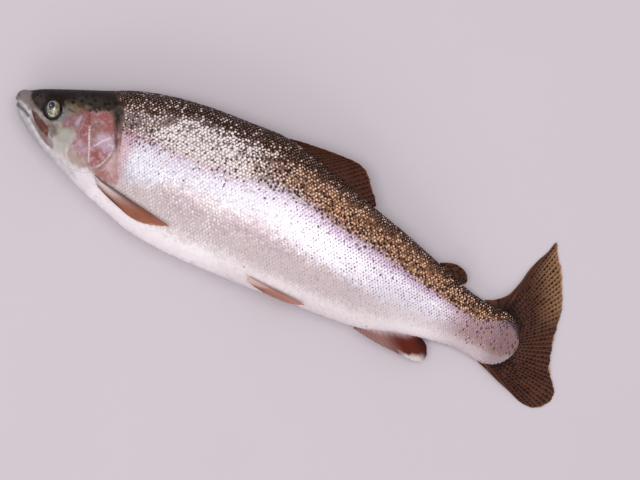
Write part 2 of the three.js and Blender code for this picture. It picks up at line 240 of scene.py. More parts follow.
@dataclass(frozen=True)
class Body:
    """The form of the fish without its fins, in millimetres."""

    length: float = 481.0
    nose_tip: float = -2.0
    nose_round: float = 5.5
    stalk_round: float = 26.0
    snout_level: float = 1.0
    stalk_level: float = -25.5
    upper_power: float = 2.08
    widest_share: float = 0.48
    rest_fillet: float = 2.2
    thinnest: float = 0.01

    back: Profile = Profile((
        (0, 8), (8, 10), (15, 14), (30, 20.6), (50, 28.6), (70, 36.6), (90, 45.3), (120, 53.3),
        (150, 57.9), (190, 60), (228, 60.4), (255, 54.2), (285, 45.2), (320, 35.3), (350, 27),
        (380, 17.2), (400, 10.3), (430, 1.4), (445, -0.6), (481, 2),
    ))
    belly: Profile = Profile((
        (0, -5), (5, -12.6), (15, -20.6), (30, -29.6), (50, -38.8), (80, -50.8), (105, -59.4),
        (130, -67), (150, -70.3), (205, -72), (250, -70.8), (300, -68.5), (335, -66.4),
        (350, -64.4), (375, -56.6), (400, -51.3), (430, -47.8), (450, -49.8), (481, -53),
    ))
    half: Profile = Profile((
        (0, 7.4), (10, 10.8), (20, 14), (35, 18.3), (50, 22.3), (70, 27), (90, 29.8), (130, 31.6),
        (180, 33.4), (220, 33.4), (260, 32), (300, 29), (340, 24.4), (370, 19.8), (400, 14.8),
        (430, 10.7), (460, 7.2), (481, 5),
    ))
    middle: Profile = Profile((
        (0, 22), (30, 24), (60, 25.6), (100, 27), (150, 28.6), (200, 29.9), (240, 29.5),
        (280, 27.3), (320, 23.9), (360, 18.8), (400, 12.8), (430, 9.2), (460, 6), (481, 4),
    ))
    lower_power: Profile = Profile((
        (0, 2), (60, 1.85), (110, 2), (200, 2.3), (330, 2.2), (420, 2), (481, 2),
    ))
    lateral: Profile = Profile(((80, 0.36), (110, 0.4), (180, 0.45), (300, 0.47), (481, 0.5)))

    def section(self, x: Numbers, grow: float = 0.0) -> Section:
        """The cross-section at x.

        Args:
            x: distances from the snout.
            grow: how far outside the body's own surface it lies; less than 0 is inside.

        Returns:
            A Section with one value for each x.
        """
        x = np.asarray(x, float)
        nose = np.sqrt(1 - (1 - np.clip((x - self.nose_tip) / self.nose_round, 0, 1)) ** 2)
        stalk = np.sqrt(1 - (1 - np.clip((self.length - x) / self.stalk_round, 0, 1)) ** 2)
        share = nose * stalk
        front = x < self.length / 2
        level = np.where(front, self.snout_level, self.stalk_level)
        back = level + (self.back(x) - level) * share + grow
        belly = level + (self.belly(x) - level) * share - grow
        thin = np.where(front, share, np.sqrt(share))
        return Section(
            np.maximum(back, level + self.thinnest),
            np.minimum(belly, level - self.thinnest),
            np.maximum(self.half(x) * thin + grow, self.thinnest),
            self.middle(x),
            self.lower_power(x),
        )

    def rest(self, z: Array, floor: Numbers) -> Array:
        """Heights kept over a floor.

        Args:
            z: the heights.
            floor: the lowest height that they may have.

        Returns:
            The heights, with a soft turn into the floor.
        """
        over = z - floor
        turn = (over + self.rest_fillet) ** 2 / (4 * self.rest_fillet)
        kept = np.where(over >= self.rest_fillet, over, turn)
        return floor + np.where(over <= -self.rest_fillet, 0.0, kept)

    def point(self, x: Numbers, angle: Numbers, grow: Numbers = 0.0) -> Array:
        """Points on the body.

        Args:
            x: distances from the snout.
            angle: 0 in the middle of the left flank, a quarter turn on the back.
            grow: how far outside the surface.

        Returns:
            An array whose last axis is x, y and z.
        """
        x, angle = np.broadcast_arrays(np.asarray(x, float), np.asarray(angle, float))
        s = self.section(x, grow)
        sine, cosine = np.sin(angle), np.cos(angle)
        power = np.where(sine >= 0, 2 / self.upper_power, 2 / s.lower_power)
        y = s.widest + s.reach(sine >= 0) * signed_power(sine, power)
        z = s.middle + s.half * signed_power(cosine, power)
        floor = np.maximum(0.0, -np.asarray(grow, float))
        return np.stack([x, y, self.rest(z, floor)], axis=-1)

    def angle_of(self, x: Numbers, y: Numbers, flank: Flank) -> Array:
        """The angle at which a flank passes a height.

        Args:
            x, y: places on the fish's side.
            flank: which side.

        Returns:
            Angles as point() takes them.
        """
        s = self.section(x)
        upper = y >= s.widest
        share = np.clip((y - s.widest) / s.reach(upper), -0.995, 0.995)
        power = np.where(upper, self.upper_power, s.lower_power) / 2
        angle = np.arcsin(signed_power(share, power))
        return angle if flank is Flank.LEFT else math.pi - angle

    def down(self, x: Array, y: Array) -> Array:
        """How far points are down from the back to the belly, as a share."""
        s = self.section(x)
        return np.clip((s.top - y) / np.maximum(s.top - s.bottom, 0.1), 0, 1)

    def sheet(
        self, xs: Array, steps: int, flank: Flank, grow: float = 0.0, fine: int = 360
    ) -> tuple[Array, Array]:
        """One flank as a net of points, even along each section.

        Args:
            xs: where the sections are.
            steps: how many steps each has from the back to the belly.
            flank: which side.
            grow: how far outside the surface.
            fine: how finely each section is measured.

        Returns:
            Points of shape (sections, steps + 1, 3), and each section's length.
        """
        angles = np.linspace(math.pi / 2, -math.pi / 2, fine + 1)
        if flank is Flank.RIGHT:
            angles = math.pi - angles
        dense = self.point(np.asarray(xs)[:, None], angles[None, :], grow)
        reach = np.linalg.norm(np.diff(dense, axis=1), axis=2).cumsum(axis=1)
        reach = np.concatenate([np.zeros((len(xs), 1)), reach], axis=1)
        share = np.linspace(0, 1, steps + 1)
        net = np.empty((len(xs), steps + 1, 3))
        for i, length in enumerate(reach):
            for k in range(3):
                net[i, :, k] = np.interp(share * length[-1], length, dense[i, :, k])
        return net, reach[:, -1]


BODY = Body()


@dataclass(frozen=True)
class Place:
    """Turns millimetres on the fish into the frame's metres."""

    snout: float
    level: float

    @classmethod
    def from_frame(cls) -> "Place":
        """Reads the place from the snout and the lowest point of the belly in the frame."""
        belly_reach = -float(min(value for _, value in BODY.belly.stations)) * MM
        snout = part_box("head")[0].x - BODY.nose_tip * MM
        return cls(snout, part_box("trunk_middle")[0].y + belly_reach)

    def __call__(self, points: Array) -> Array:
        """Points in metres, in the frame."""
        points = np.asarray(points, float) * MM
        return points + np.array([self.snout, self.level, 0.0])


PLACE = Place.from_frame()


# ---------------- meshes


def clear_selection() -> None:
    """Leaves nothing selected and no object in edit mode."""
    if bpy.context.object and bpy.context.object.mode != "OBJECT":
        bpy.ops.object.mode_set(mode="OBJECT")
    bpy.ops.object.select_all(action="DESELECT")


def select_only(piece: Piece) -> None:
    """Selects one object and makes it the active one."""
    clear_selection()
    bpy.context.view_layer.objects.active = piece
    piece.select_set(True)


def add_object(name: str, data: bpy.types.ID) -> Piece:
    """A new object of the scene with a mesh, lamp or camera in it."""
    piece = bpy.data.objects.new(name, data)
    bpy.context.scene.collection.objects.link(piece)
    return piece


def own_primitive(name: str) -> Piece:
    """Takes over the primitive just added.

    Args:
        name: its new name.

    Returns:
        The object, with its place in its mesh.
    """
    piece = bpy.context.object
    piece.name = piece.data.name = name
    bpy.ops.object.transform_apply(location=True, rotation=True, scale=True)
    return piece


def move_corners(piece: Piece, points: Array) -> None:
    """Puts a mesh's corners at points in metres."""
    piece.data.vertices.foreach_set("co", np.ascontiguousarray(points, np.float32).ravel())
    piece.data.update()


def corners(piece: Piece) -> Array:
    """A mesh's corners, in metres."""
    out = np.empty(len(piece.data.vertices) * 3, np.float32)
    piece.data.vertices.foreach_get("co", out)
    return out.reshape(-1, 3).astype(float)


def net_piece(name: str, net: Array) -> Piece:
    """A grid primitive moved onto a net of points.

    Args:
        name: the new object's name.
        net: points of shape (columns, rows, 3) in millimetres on the fish.

    Returns:
        The object. Its map runs from 0 to 1 along the net's columns and rows.
    """
    columns, rows = net.shape[:2]
    clear_selection()
    bpy.ops.mesh.primitive_grid_add(
        x_subdivisions=columns - 1, y_subdivisions=rows - 1, size=1, calc_uvs=True
    )
    piece = own_primitive(name)
    move_corners(piece, PLACE(by_row(net)))
    return piece


def by_row(net: Array) -> Array:
    """A net's numbers in the order of a grid primitive's corners."""
    return net.transpose(1, 0, 2).reshape(-1, net.shape[-1])


def close_seams(piece: Piece, gap: float = 2e-6) -> None:
    """Welds a net's edges where they meet, and turns its faces outwards.

    Args:
        piece: the object.
        gap: how far apart corners may be to be welded, in metres.
    """
    select_only(piece)
    bpy.ops.object.mode_set(mode="EDIT")
    bpy.ops.mesh.select_all(action="SELECT")
    bpy.ops.mesh.remove_doubles(threshold=gap)
    bpy.ops.mesh.normals_make_consistent(inside=False)
    bpy.ops.object.mode_set(mode="OBJECT")
    bpy.ops.object.shade_smooth()


def write_attribute(piece: Piece, name: str, values: Array) -> None:
    """Stores numbers on a mesh's corners for its finish to read.

    Args:
        piece: the object.
        name: the attribute's name.
        values: one row for each corner, of three numbers, or of four kept as a colour.
    """
    wide = values.shape[-1] == 4
    layer = piece.data.attributes.new(name, "FLOAT_COLOR" if wide else "FLOAT_VECTOR", "POINT")
    flat = np.ascontiguousarray(values, np.float32).ravel()
    layer.data.foreach_set("color" if wide else "vector", flat)


def finish_piece(piece: Piece, finish: Finish, slot: Slot, *nodes: str) -> None:
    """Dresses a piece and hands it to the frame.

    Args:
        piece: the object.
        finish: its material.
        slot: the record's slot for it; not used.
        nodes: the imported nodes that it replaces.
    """
    piece.data.materials.clear()
    piece.data.materials.append(finish)
    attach(piece, "root")
    if nodes:
        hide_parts(*nodes)
    log.info("%s: %d faces", piece.name, len(piece.data.polygons))


def grid_normals(net: Array) -> Array:
    """Outward normals of a net.

    Args:
        net: points whose columns run to the tail and whose rows run down the left flank.

    Returns:
        One unit vector for each point; on the right flank they point inwards.
    """
    along = np.gradient(net, axis=0)
    around = np.gradient(net, axis=1)
    normal = np.cross(around, along)
    return normal / np.maximum(np.linalg.norm(normal, axis=2, keepdims=True), 1e-9)


# ---------------- what is drawn on the head


def rgb(red: int, green: int, blue: int) -> Colour:
    """A screen colour from 0 to 255 as the linear colour that shaders use."""
    parts = np.array([red, green, blue]) / 255
    linear = np.where(parts < 0.04045, parts / 12.92, ((parts + 0.055) / 1.055) ** 2.4)
    return tuple(float(v) for v in linear)


@dataclass(frozen=True)
class Patch:
    """A soft-edged patch of colour on the side of the head."""

    colour: Colour
    points: tuple[Pair, ...]
    soft: float = 2.4
    strength: float = 1.0
    wanders: bool = True

    def share(self, x: Array, y: Array) -> Array:
        """How much of the patch's colour points take."""
        return self.strength * Line(self.points, closed=True, steps=60).inside(x, y, self.soft)


@dataclass(frozen=True)
class CleanPatch(Patch):
    """A patch whose border doesn't wander."""

    wanders: bool = False


@dataclass(frozen=True)
class Stroke:
    """A line of colour on the side of the head, broken into some number of beads."""

    colour: Colour
    points: tuple[Pair, ...]
    width: float = 0.8
    strength: float = 1.0
    fade: float = 0.12
    beads: int = 0
    wanders: bool = False

    def share(self, x: Array, y: Array) -> Array:
        """How much of the line's colour points take."""
        away, share = Line(self.points, steps=50).measure(x, y)
        ends = ease(share, 0, self.fade) * ease(share, 1, 1 - self.fade)
        broken = 0.7 + 0.3 * np.cos(share * self.beads * FULL_TURN)
        return self.strength * bell(away, self.width) * ends * broken


@dataclass(frozen=True)
class Head:
    """Lines and patches of the head, and the relief and paint that follow them."""

    ground: Colour = rgb(236, 229, 231)
    spot_size: float = 1.45
    nostril: float = 0.75

    gape: Line = Line(
        ((-6, -2.6), (3, -5), (9, -7.4), (16, -11.6), (26, -19), (36, -25.6), (45.6, -30.2))
    )
    jaw_bone: Line = Line(
        ((12.4, -5.4), (17, -5), (26, -9.8), (36, -16.4), (43.6, -22.4), (46.6, -26.8),
         (43.6, -28.8), (35, -24.6), (25, -17.6), (16, -10.4)),
        closed=True,
    )
    jaw_groove: Line = Line(((15.5, -5.2), (21, -6.6), (28, -10.2), (34, -14.4), (39.5, -19)))
    gill_edge: Line = Line(
        ((74, 21), (80, 20.6), (85, 16.4), (89.5, 6), (94.4, -3), (95.4, -9), (94, -17), (91, -26),
         (86, -33), (76, -37.4), (64, -38), (54, -35.6), (47, -32))
    )
    cheek_edge: Line = Line(((60.4, 15), (61.6, 6), (62, -6), (60.6, -18), (58, -28), (62, -34)))
    gill_ridge: Line = Line(((66, 8), (68, 2), (71, -7), (76, -18), (80, -28)))
    gill_suture: Line = Line(((76, -16), (82, -9.6), (89, -2), (93.6, 2)))
    lower_suture: Line = Line(((60, -27), (68, -30), (76, -31.4), (86, -30)))
    throat_rays: tuple[Line, ...] = tuple(
        Line(((50 + 3.2 * k, -33.4 - 1.5 * k), (64 + 2 * k, -38.2 - 1.9 * k),
              (80 + k, -38.6 - 2.3 * k)))
        for k in range(4)
    )
    shoulder: Line = Line(
        ((88, 22), (93, 12), (98.6, 2), (101.4, -10), (103, -20), (102, -30), (94, -36))
    )
    eye_socket: Line = Line(((43.5, 0), (46.4, -7), (42, -13), (33, -13.6), (25, -9)))
    nape: Line = Line(
        ((70, 60), (71.6, 44), (74.6, 35), (79, 31.4), (85, 29.6), (89, 24), (92, 14), (96.6, 3),
         (100.4, -9), (104.4, -22), (108.6, -32), (106, -37), (97, -42), (93, -52), (90, -70))
    )
    crown: tuple[Pair, ...] = (
        (4, 14), (8, 9.4), (11, 5), (15.6, 1.4), (20, -1.4), (26, -2.8), (33, -5.6), (38.6, -5.4),
        (43, -2.6), (42.6, 4), (44, 10), (50, 12.4), (56, 12.2), (62, 13.6), (68, 15.8), (72, 19.5),
        (80, 21.4), (84, 28), (88, 34), (94, 64), (60, 60), (20, 40),
    )
    blush: tuple[Pair, ...] = (
        (60.5, 12), (64, 13.4), (70, 15.5), (76, 19), (81, 17.5), (86, 13), (91, 5), (95.8, -4),
        (96.2, -8), (94.6, -14), (91.6, -22), (87.6, -29), (82, -32), (74, -30), (66, -27),
        (61, -20), (61, -8),
    )
    girdle: tuple[Pair, ...] = (
        (93, 4), (98, 4), (100.6, -2), (102.4, -11), (106, -22), (111, -33), (106, -38), (94, -37),
        (86, -33), (91, -24), (95, -14), (96.4, -7),
    )
    cheek_pink: Patch = Patch(
        rgb(132, 82, 88), ((43, -1), (46, -8), (51, -8), (57, -6), (63, -9), (64, 14), (57, 15),
                           (51, 9), (46, 3)), 4.0, 0.9,
    )
    tints: tuple[Patch | Stroke, ...] = (
        # The jaw's grey: partly its own colour, partly painted shade where it turns from the light.
        Patch(rgb(192, 187, 189), ((-4, -4), (12, -10), (30, -22), (46, -32), (68, -38), (66, -52),
              (30, -46), (-4, -30)), 7.0, 0.7),
        Patch(rgb(170, 169, 171), ((0, -8), (12, -13), (24, -21), (38, -31), (50, -38), (40, -42),
              (10, -26)), 4.0),
        Patch(rgb(130, 121, 116), ((-4, -3), (-4, 12), (8, 12), (14, 5), (19, 0), (23, -3),
              (17, -6), (8, -5)), 3.0),
        Patch(rgb(120, 100, 88), ((12, 2), (20, -2), (28, -6), (34, -8), (42, -7), (45, -11),
              (42, -15), (36, -15), (28, -10.5), (18, -5), (12, -2)), 3.4),
        Patch(rgb(174, 171, 159), ((40, -6), (44, 10), (58, 14), (64, 4), (62, -14), (58, -27),
              (48, -30), (43, -22), (40, -12)), 7.0),
        # Painted shade: a brown patch beside the upper jaw's rear end.
        Patch(rgb(106, 90, 80), ((35, -9), (41, -9), (45, -13), (44, -19), (42, -22), (38, -19)),
              4.0, 0.9),
        Patch(rgb(206, 200, 198), ((43, -22), (47, -21), (56, -21), (58, -24), (50, -27),
              (45, -26)), 2.6, 0.35),
        cheek_pink,
        # Painted highlight: a pale lilac line on the pink cheek.
        Stroke(rgb(200, 184, 202), ((56.4, -4), (57.4, 2), (58.6, 9)), 1.9, 0.7, 0.3),
        Patch(rgb(96, 72, 58), ((54, 11), (64, 13), (74, 18), (86, 12), (91, 4), (99, 2), (99, 12),
              (92, 26), (84, 34), (60, 24)), 2.6),
        Patch(rgb(156, 108, 108), blush, 3.2),
        Patch(rgb(146, 82, 74), ((61, 12), (65.4, 12), (67.6, -1), (70, -8), (69, -13), (63, -12),
              (61.4, -2)), 3.4),
        Patch(rgb(158, 92, 90), ((69, 15), (76, 19), (83, 15), (87, 8), (84, 2), (78, 4), (72, 8)),
              4.6),
        Patch(rgb(144, 112, 100), ((70, 6), (76, 7), (80, 2), (79, -6), (75, -10), (71, -2)), 4.4),
        Patch(rgb(190, 164, 182), ((80, -1), (88, 1), (94, -3), (95, -9), (91, -14), (83, -13),
              (78, -9)), 4.4),
        Patch(rgb(152, 88, 78), ((78, -15), (85, -14.6), (92, -16), (90, -23), (84, -24),
              (78, -22)), 3.4),
        Patch(rgb(172, 134, 146), ((62, -12), (70, -12), (75, -18), (73, -23), (64, -22)), 4.4),
        Patch(rgb(176, 160, 148), ((58, -22), (66, -24), (74, -24), (79, -28), (76, -34), (64, -34),
              (57, -29)), 4.0),
        Patch(rgb(184, 144, 140), girdle, 2.6),
        Patch(rgb(206, 178, 176), ((94, -6), (98, -12), (101, -22), (104, -31), (100, -31),
              (96, -22)), 3.0, 0.7),
        Patch(rgb(162, 106, 98), ((88, -30), (95, -28), (100, -30), (104, -34), (96, -36),
              (88, -35)), 3.0, 0.8),
        Patch(rgb(24, 16, 11), crown, 2.0),
        Patch(rgb(70, 58, 58), ((14, 4), (19, 0.6), (24, -1.5), (23.4, 7), (21, 11.4), (15, 9)),
              4.0, 0.8),
        Patch(rgb(122, 122, 118), ((40, -4), (45, -4), (47, 6), (43.6, 12), (41, 8)), 3.6),
        Patch(rgb(104, 88, 56), ((44, 7), (54, 8), (58, 13), (49, 16), (42, 12)), 4.6, 0.9),
        Patch(rgb(64, 59, 45), ((46, 16), (58, 15), (68, 18.5), (80, 22), (82, 27), (72, 28),
              (58, 25), (48, 22)), 5.0, 0.75),
        Patch(rgb(64, 46, 34), ((20, 15), (40, 23), (60, 32), (80, 40), (80, 46), (50, 36),
              (20, 22)), 3.0, 0.6),
        Stroke(rgb(26, 19, 17), ((9, 8), (12.6, 4.4), (16.4, 1.4), (22.8, -1.6), (30, -5.6),
              (36, -6.8), (41, -4)), 1.5, 0.85),
        Patch(rgb(126, 88, 52), ((56.4, 10.6), (59, 15.6), (61.6, 16.6), (61, 12)), 2.0, 0.6),
        Patch(rgb(48, 36, 31), ((78, 29), (85, 31), (90, 26), (92, 18), (91, 14), (87.6, 14),
              (84, 20), (80, 24)), 2.2, 0.95),
        Patch(rgb(128, 92, 90), ((91, 14), (93.6, 13), (97.6, 4), (99.6, -3), (97, -4), (93.4, 3)),
              1.8, 0.9),
        Stroke(rgb(56, 42, 30), ((44, 8), (48, 7.6), (53, 7.4)), 1.0, 0.8),
        Stroke(rgb(108, 80, 54), ((78, 20), (84, 17), (88.5, 8.6), (93, 0), (95.6, -5)), 1.7, 0.8),
        # Painted shadow: dark lines in the gap along the gill cover's free edge.
        Stroke(rgb(30, 19, 15), ((83, 28), (85, 22), (87.4, 16), (89, 12)), 1.8, 0.9, 0.3),
        Stroke(rgb(48, 28, 23), ((86, 18), (88.4, 13), (91, 6.6), (94.2, -0.6), (96.4, -6),
              (96.8, -10)), 0.8, 0.95, 0.15),
        Stroke(rgb(126, 90, 86), ((96.6, -6), (95.6, -13), (92.6, -21.6), (89, -28), (83, -33)),
              0.9, 0.7),
        # Painted wet glints: beaded white lines along the gill cover's rear edge and the shoulder.
        Stroke(rgb(240, 230, 230), ((95.4, -8.6), (94, -15), (91.4, -21.6), (88, -27), (83, -31)),
              0.6, 0.8, 0.2, 9),
        Stroke(rgb(226, 204, 202), ((98, -12), (97, -20), (94, -27), (89, -32)), 1.0, 0.7, 0.2, 4),
        Stroke(rgb(96, 60, 56), ((64, 11), (66, 6), (68, 1)), 0.8, 0.8),
        # Painted wet glints: beaded white lines along the gill cover's ridge and sutures.
        Stroke(rgb(244, 234, 234), ((67, 3), (68.4, 1), (71, -6), (75, -15), (80, -28)), 0.75, 0.95,
              0.1, 13),
        Stroke(rgb(244, 234, 234), ((77, -14), (81, -9), (84, -5), (88, -1), (89.4, 1.6)), 0.65,
              0.9, 0.15, 9),
        Stroke(rgb(244, 236, 236), ((88, -7), (92, -6), (95, -7.6)), 0.6, 0.8, 0.2, 3),
        Stroke(rgb(232, 224, 220), ((58.6, -18), (57.4, -23), (60, -30), (67, -34.6), (78, -34.8)),
              0.9, 0.6, 0.25, 5),
        Stroke(rgb(128, 112, 104), ((62, -15), (59.6, -20), (62, -26)), 0.8, 0.5),
        CleanPatch(rgb(136, 113, 104), ((16, -8), (22, -13), (30, -17.6), (37, -20), (42, -22),
              (46, -26), (45, -28.6), (40, -27.4), (34, -24.4), (27, -19.6), (20, -14.6)), 1.5),
        CleanPatch(rgb(152, 134, 136), ((38, -22), (42, -22.6), (45.4, -26), (44.6, -28),
              (41, -26.4)), 1.6),
        CleanPatch(rgb(92, 50, 38), ((16.4, -5.1), (22.9, -8), (29.6, -11), (35.4, -14.8),
              (37.8, -18.2), (38.2, -20.8), (35.4, -20.4), (31, -18.4), (26, -15.6), (21.4, -12),
              (18.4, -8.6)), 1.1),
        CleanPatch(rgb(112, 54, 38), ((30, -12.4), (34, -14.6), (36.2, -17.6), (33, -17.4),
              (30, -15)), 1.2, 0.8),
        Stroke(rgb(46, 30, 27), ((15.4, -4.8), (19.4, -9), (24, -14), (29, -17.2), (34, -19.8)),
              0.7, 0.7),
        Stroke(rgb(60, 38, 34), ((15, -4.8), (20, -6.6), (26, -9.2), (33, -13.2), (37, -17.6)), 0.7,
              0.7),
        Stroke(rgb(170, 152, 148), ((17, -3.4), (22, -5.2), (28, -8.4), (34, -12.2)), 0.9, 0.5,
              0.25),
        Stroke(rgb(84, 48, 42), ((26, -18.4), (29.6, -21), (33.4, -23.6), (37, -26), (42.8, -28.2)),
              0.75, 0.85),
        # Painted shadow along the lip line, under the upper lip.
        Stroke(rgb(78, 72, 86), ((-3, -3.4), (3, -6.4), (8.6, -8), (11.7, -9.4), (16.7, -12)), 1.6,
              0.9, 0.05),
        Stroke(rgb(128, 112, 110), ((15, -11.4), (20, -14.8), (27, -19.8), (36, -25.8)), 0.8, 0.6),
        Stroke(rgb(214, 206, 202), ((1, -1.6), (6, -3.2), (11, -5), (15, -8.6)), 1.2, 0.6, 0.2),
        Stroke(rgb(70, 54, 48), ((-1, 4), (0.4, 1.9), (1.6, 0.6)), 0.7, 0.8),
    )
    spots: tuple[Pair, ...] = (
        (45.2, 18.4), (46.4, 14.8), (54.9, 23.7), (52.9, 18.7), (63.2, 23.6), (60.6, 18.9),
        (59.3, 26.7), (72.2, 24.5), (75, 26), (70, 18.2), (68.3, 15.6), (61.9, 14), (80.4, 28.4),
        (66, 30), (49, 27), (84, 22.4), (77, 20.6),
    )
    spot: Colour = rgb(14, 9, 8)
    nostrils: tuple[Pair, ...] = ((15.4, 8.6), (18.6, 8.8))

    def ridge(self, line: Line, x: Array, y: Array, width: float, fade: float = 0.12) -> Array:
        """A rounded ridge along a line, 1 on it and 0 away from it."""
        away, share = line.measure(x, y)
        return bell(away, width) * ease(share, 0, fade) * ease(share, 1, 1 - fade)

    def gill_relief(self, x: Array, y: Array) -> Array:
        """The gill cover's free edge, its bones, the cheek bone, the throat and the shoulder."""
        away, share = self.gill_edge.measure(x, y)
        held = ease(share, 0.0, 0.1) * ease(share, 1.0, 0.82)
        flap = ease(-away, -0.35, 0.75) * np.exp(-np.maximum(-away, 0) / 26)
        pocket = ease(away, 0.0, 0.7) * np.exp(-np.maximum(away, 0) / 3.4)
        out = held * (1.25 * flap - 0.9 * pocket)
        away, share = self.cheek_edge.measure(x, y)
        held = ease(share, 0.0, 0.12) * ease(share, 1.0, 0.9)
        flap = ease(-away, -0.3, 0.6) * np.exp(-np.maximum(-away, 0) / 9)
        pocket = ease(away, 0, 0.5) * np.exp(-np.maximum(away, 0) / 2.2)
        out += held * (0.42 * flap - 0.3 * pocket)
        out += 0.34 * self.ridge(self.gill_ridge, x, y, 0.8)
        out -= 0.3 * self.ridge(self.gill_suture, x, y, 0.6)
        out -= 0.35 * self.ridge(self.lower_suture, x, y, 0.7)
        for ray in self.throat_rays:
            out -= 0.42 * self.ridge(ray, x, y, 0.6, 0.2)
        return out + 0.4 * self.ridge(self.shoulder, x, y, 2.4, 0.25)

    def mouth_relief(self, x: Array, y: Array) -> Array:
        """The slit, the lips, the upper jaw bone over it, and the groove above that."""
        away, share = self.gape.measure(x, y)
        upper_lip = bell(away - 2.0, 1.3) * ease(x, 20, 12)
        lips = (bell(away + 2.2, 1.4) + upper_lip) * ease(share, 1.0, 0.8)
        slit = bell(away, 1.05) * ease(share, 1.0, 0.94)
        bone = self.jaw_bone.inside(x, y, 1.1)
        groove = self.ridge(self.jaw_groove, x, y, 1.6, 0.15)
        return 0.8 * bone - 0.9 * groove - 0.9 * slit + 0.4 * lips

    def eye_relief(self, x: Array, y: Array) -> Array:
        """The socket, the folds round the eye, and the nostrils."""
        from_rim = np.hypot(x - Eye.x, (y - Eye.y) * 0.98) - Eye.opening
        out = -5.0 * ease(from_rim, 0.5, -0.5)
        out += 0.55 * bell(from_rim - 1.3, 0.9) - 0.35 * bell(from_rim - 3.4, 0.8)
        out -= 0.3 * self.ridge(self.eye_socket, x, y, 0.9, 0.2)
        for nostril_x, nostril_y in self.nostrils:
            away = np.hypot(x - nostril_x, y - nostril_y)
            out += 0.35 * bell(away - 1.5, 0.55) - 1.1 * bell(away, self.nostril)
        return out

    def relief(self, x: Array, y: Array) -> Array:
        """How far the skin stands out along its own normal."""
        return self.gill_relief(x, y) + self.mouth_relief(x, y) + self.eye_relief(x, y)

    def bent(self, x: Array, y: Array) -> tuple[Array, Array]:
        """Points moved by up to a millimetre or two, for borders that wander."""
        return (
            x + 0.8 * np.sin(0.55 * x + 0.83 * y) + 0.5 * np.sin(1.27 * x - 1.01 * y + 1)
            + 0.3 * np.sin(2.3 * x + 1.9 * y + 2),
            y + 0.8 * np.sin(0.71 * x - 0.47 * y + 2) + 0.5 * np.sin(1.13 * x + 1.31 * y)
            + 0.3 * np.sin(2.1 * x - 2.5 * y),
        )

    def paint(self, x: Array, y: Array) -> Array:
        """The head's own colour at points on its side.

        Args:
            x, y: places on the fish's side.

        Returns:
            One row per point: a linear colour, and its pinkness, which guides painted sheen.
        """
        bent = self.bent(x, y)
        colour = np.ones((*x.shape, 1)) * np.array(self.ground)
        for tint in self.tints:
            share = tint.share(*bent) if tint.wanders else tint.share(x, y)
            colour = lerp(colour, np.array(tint.colour), share[..., None])
        dots = [(place, 0.8, self.spot_size, 1.0) for place in self.spots]
        # The nostrils take the spots' colour as painted shade in their pits.
        dots += [(place, 1.0, self.nostril, 0.85) for place in self.nostrils]
        for (dot_x, dot_y), squash, size, strength in dots:
            share = strength * bell(np.hypot((x - dot_x) * squash, y - dot_y), size, 4)
            colour = lerp(colour, np.array(self.spot), share[..., None])
        pink = np.maximum(Patch((), self.blush).share(*bent), 0.6 * self.cheek_pink.share(*bent))
        pink = np.maximum(pink, Patch((), self.girdle, 3.0).share(*bent))
        return np.concatenate([colour, pink[..., None]], axis=-1)

    def crown_share(self, x: Array, y: Array) -> Array:
        """Where the head is dark: 1 on the crown, and 0 below it."""
        return Patch((), self.crown, 2.0).share(x, y)

    def scaled(self, x: Array, y: Array, soft: float = 0.5) -> Array:
        """Where scales grow: 1 behind the nape and the shoulder, and 0 on the head."""
        return ease(self.nape.measure(x, y)[0], -soft, 0.5)


HEAD = Head()


# ---------------- finishes as arithmetic


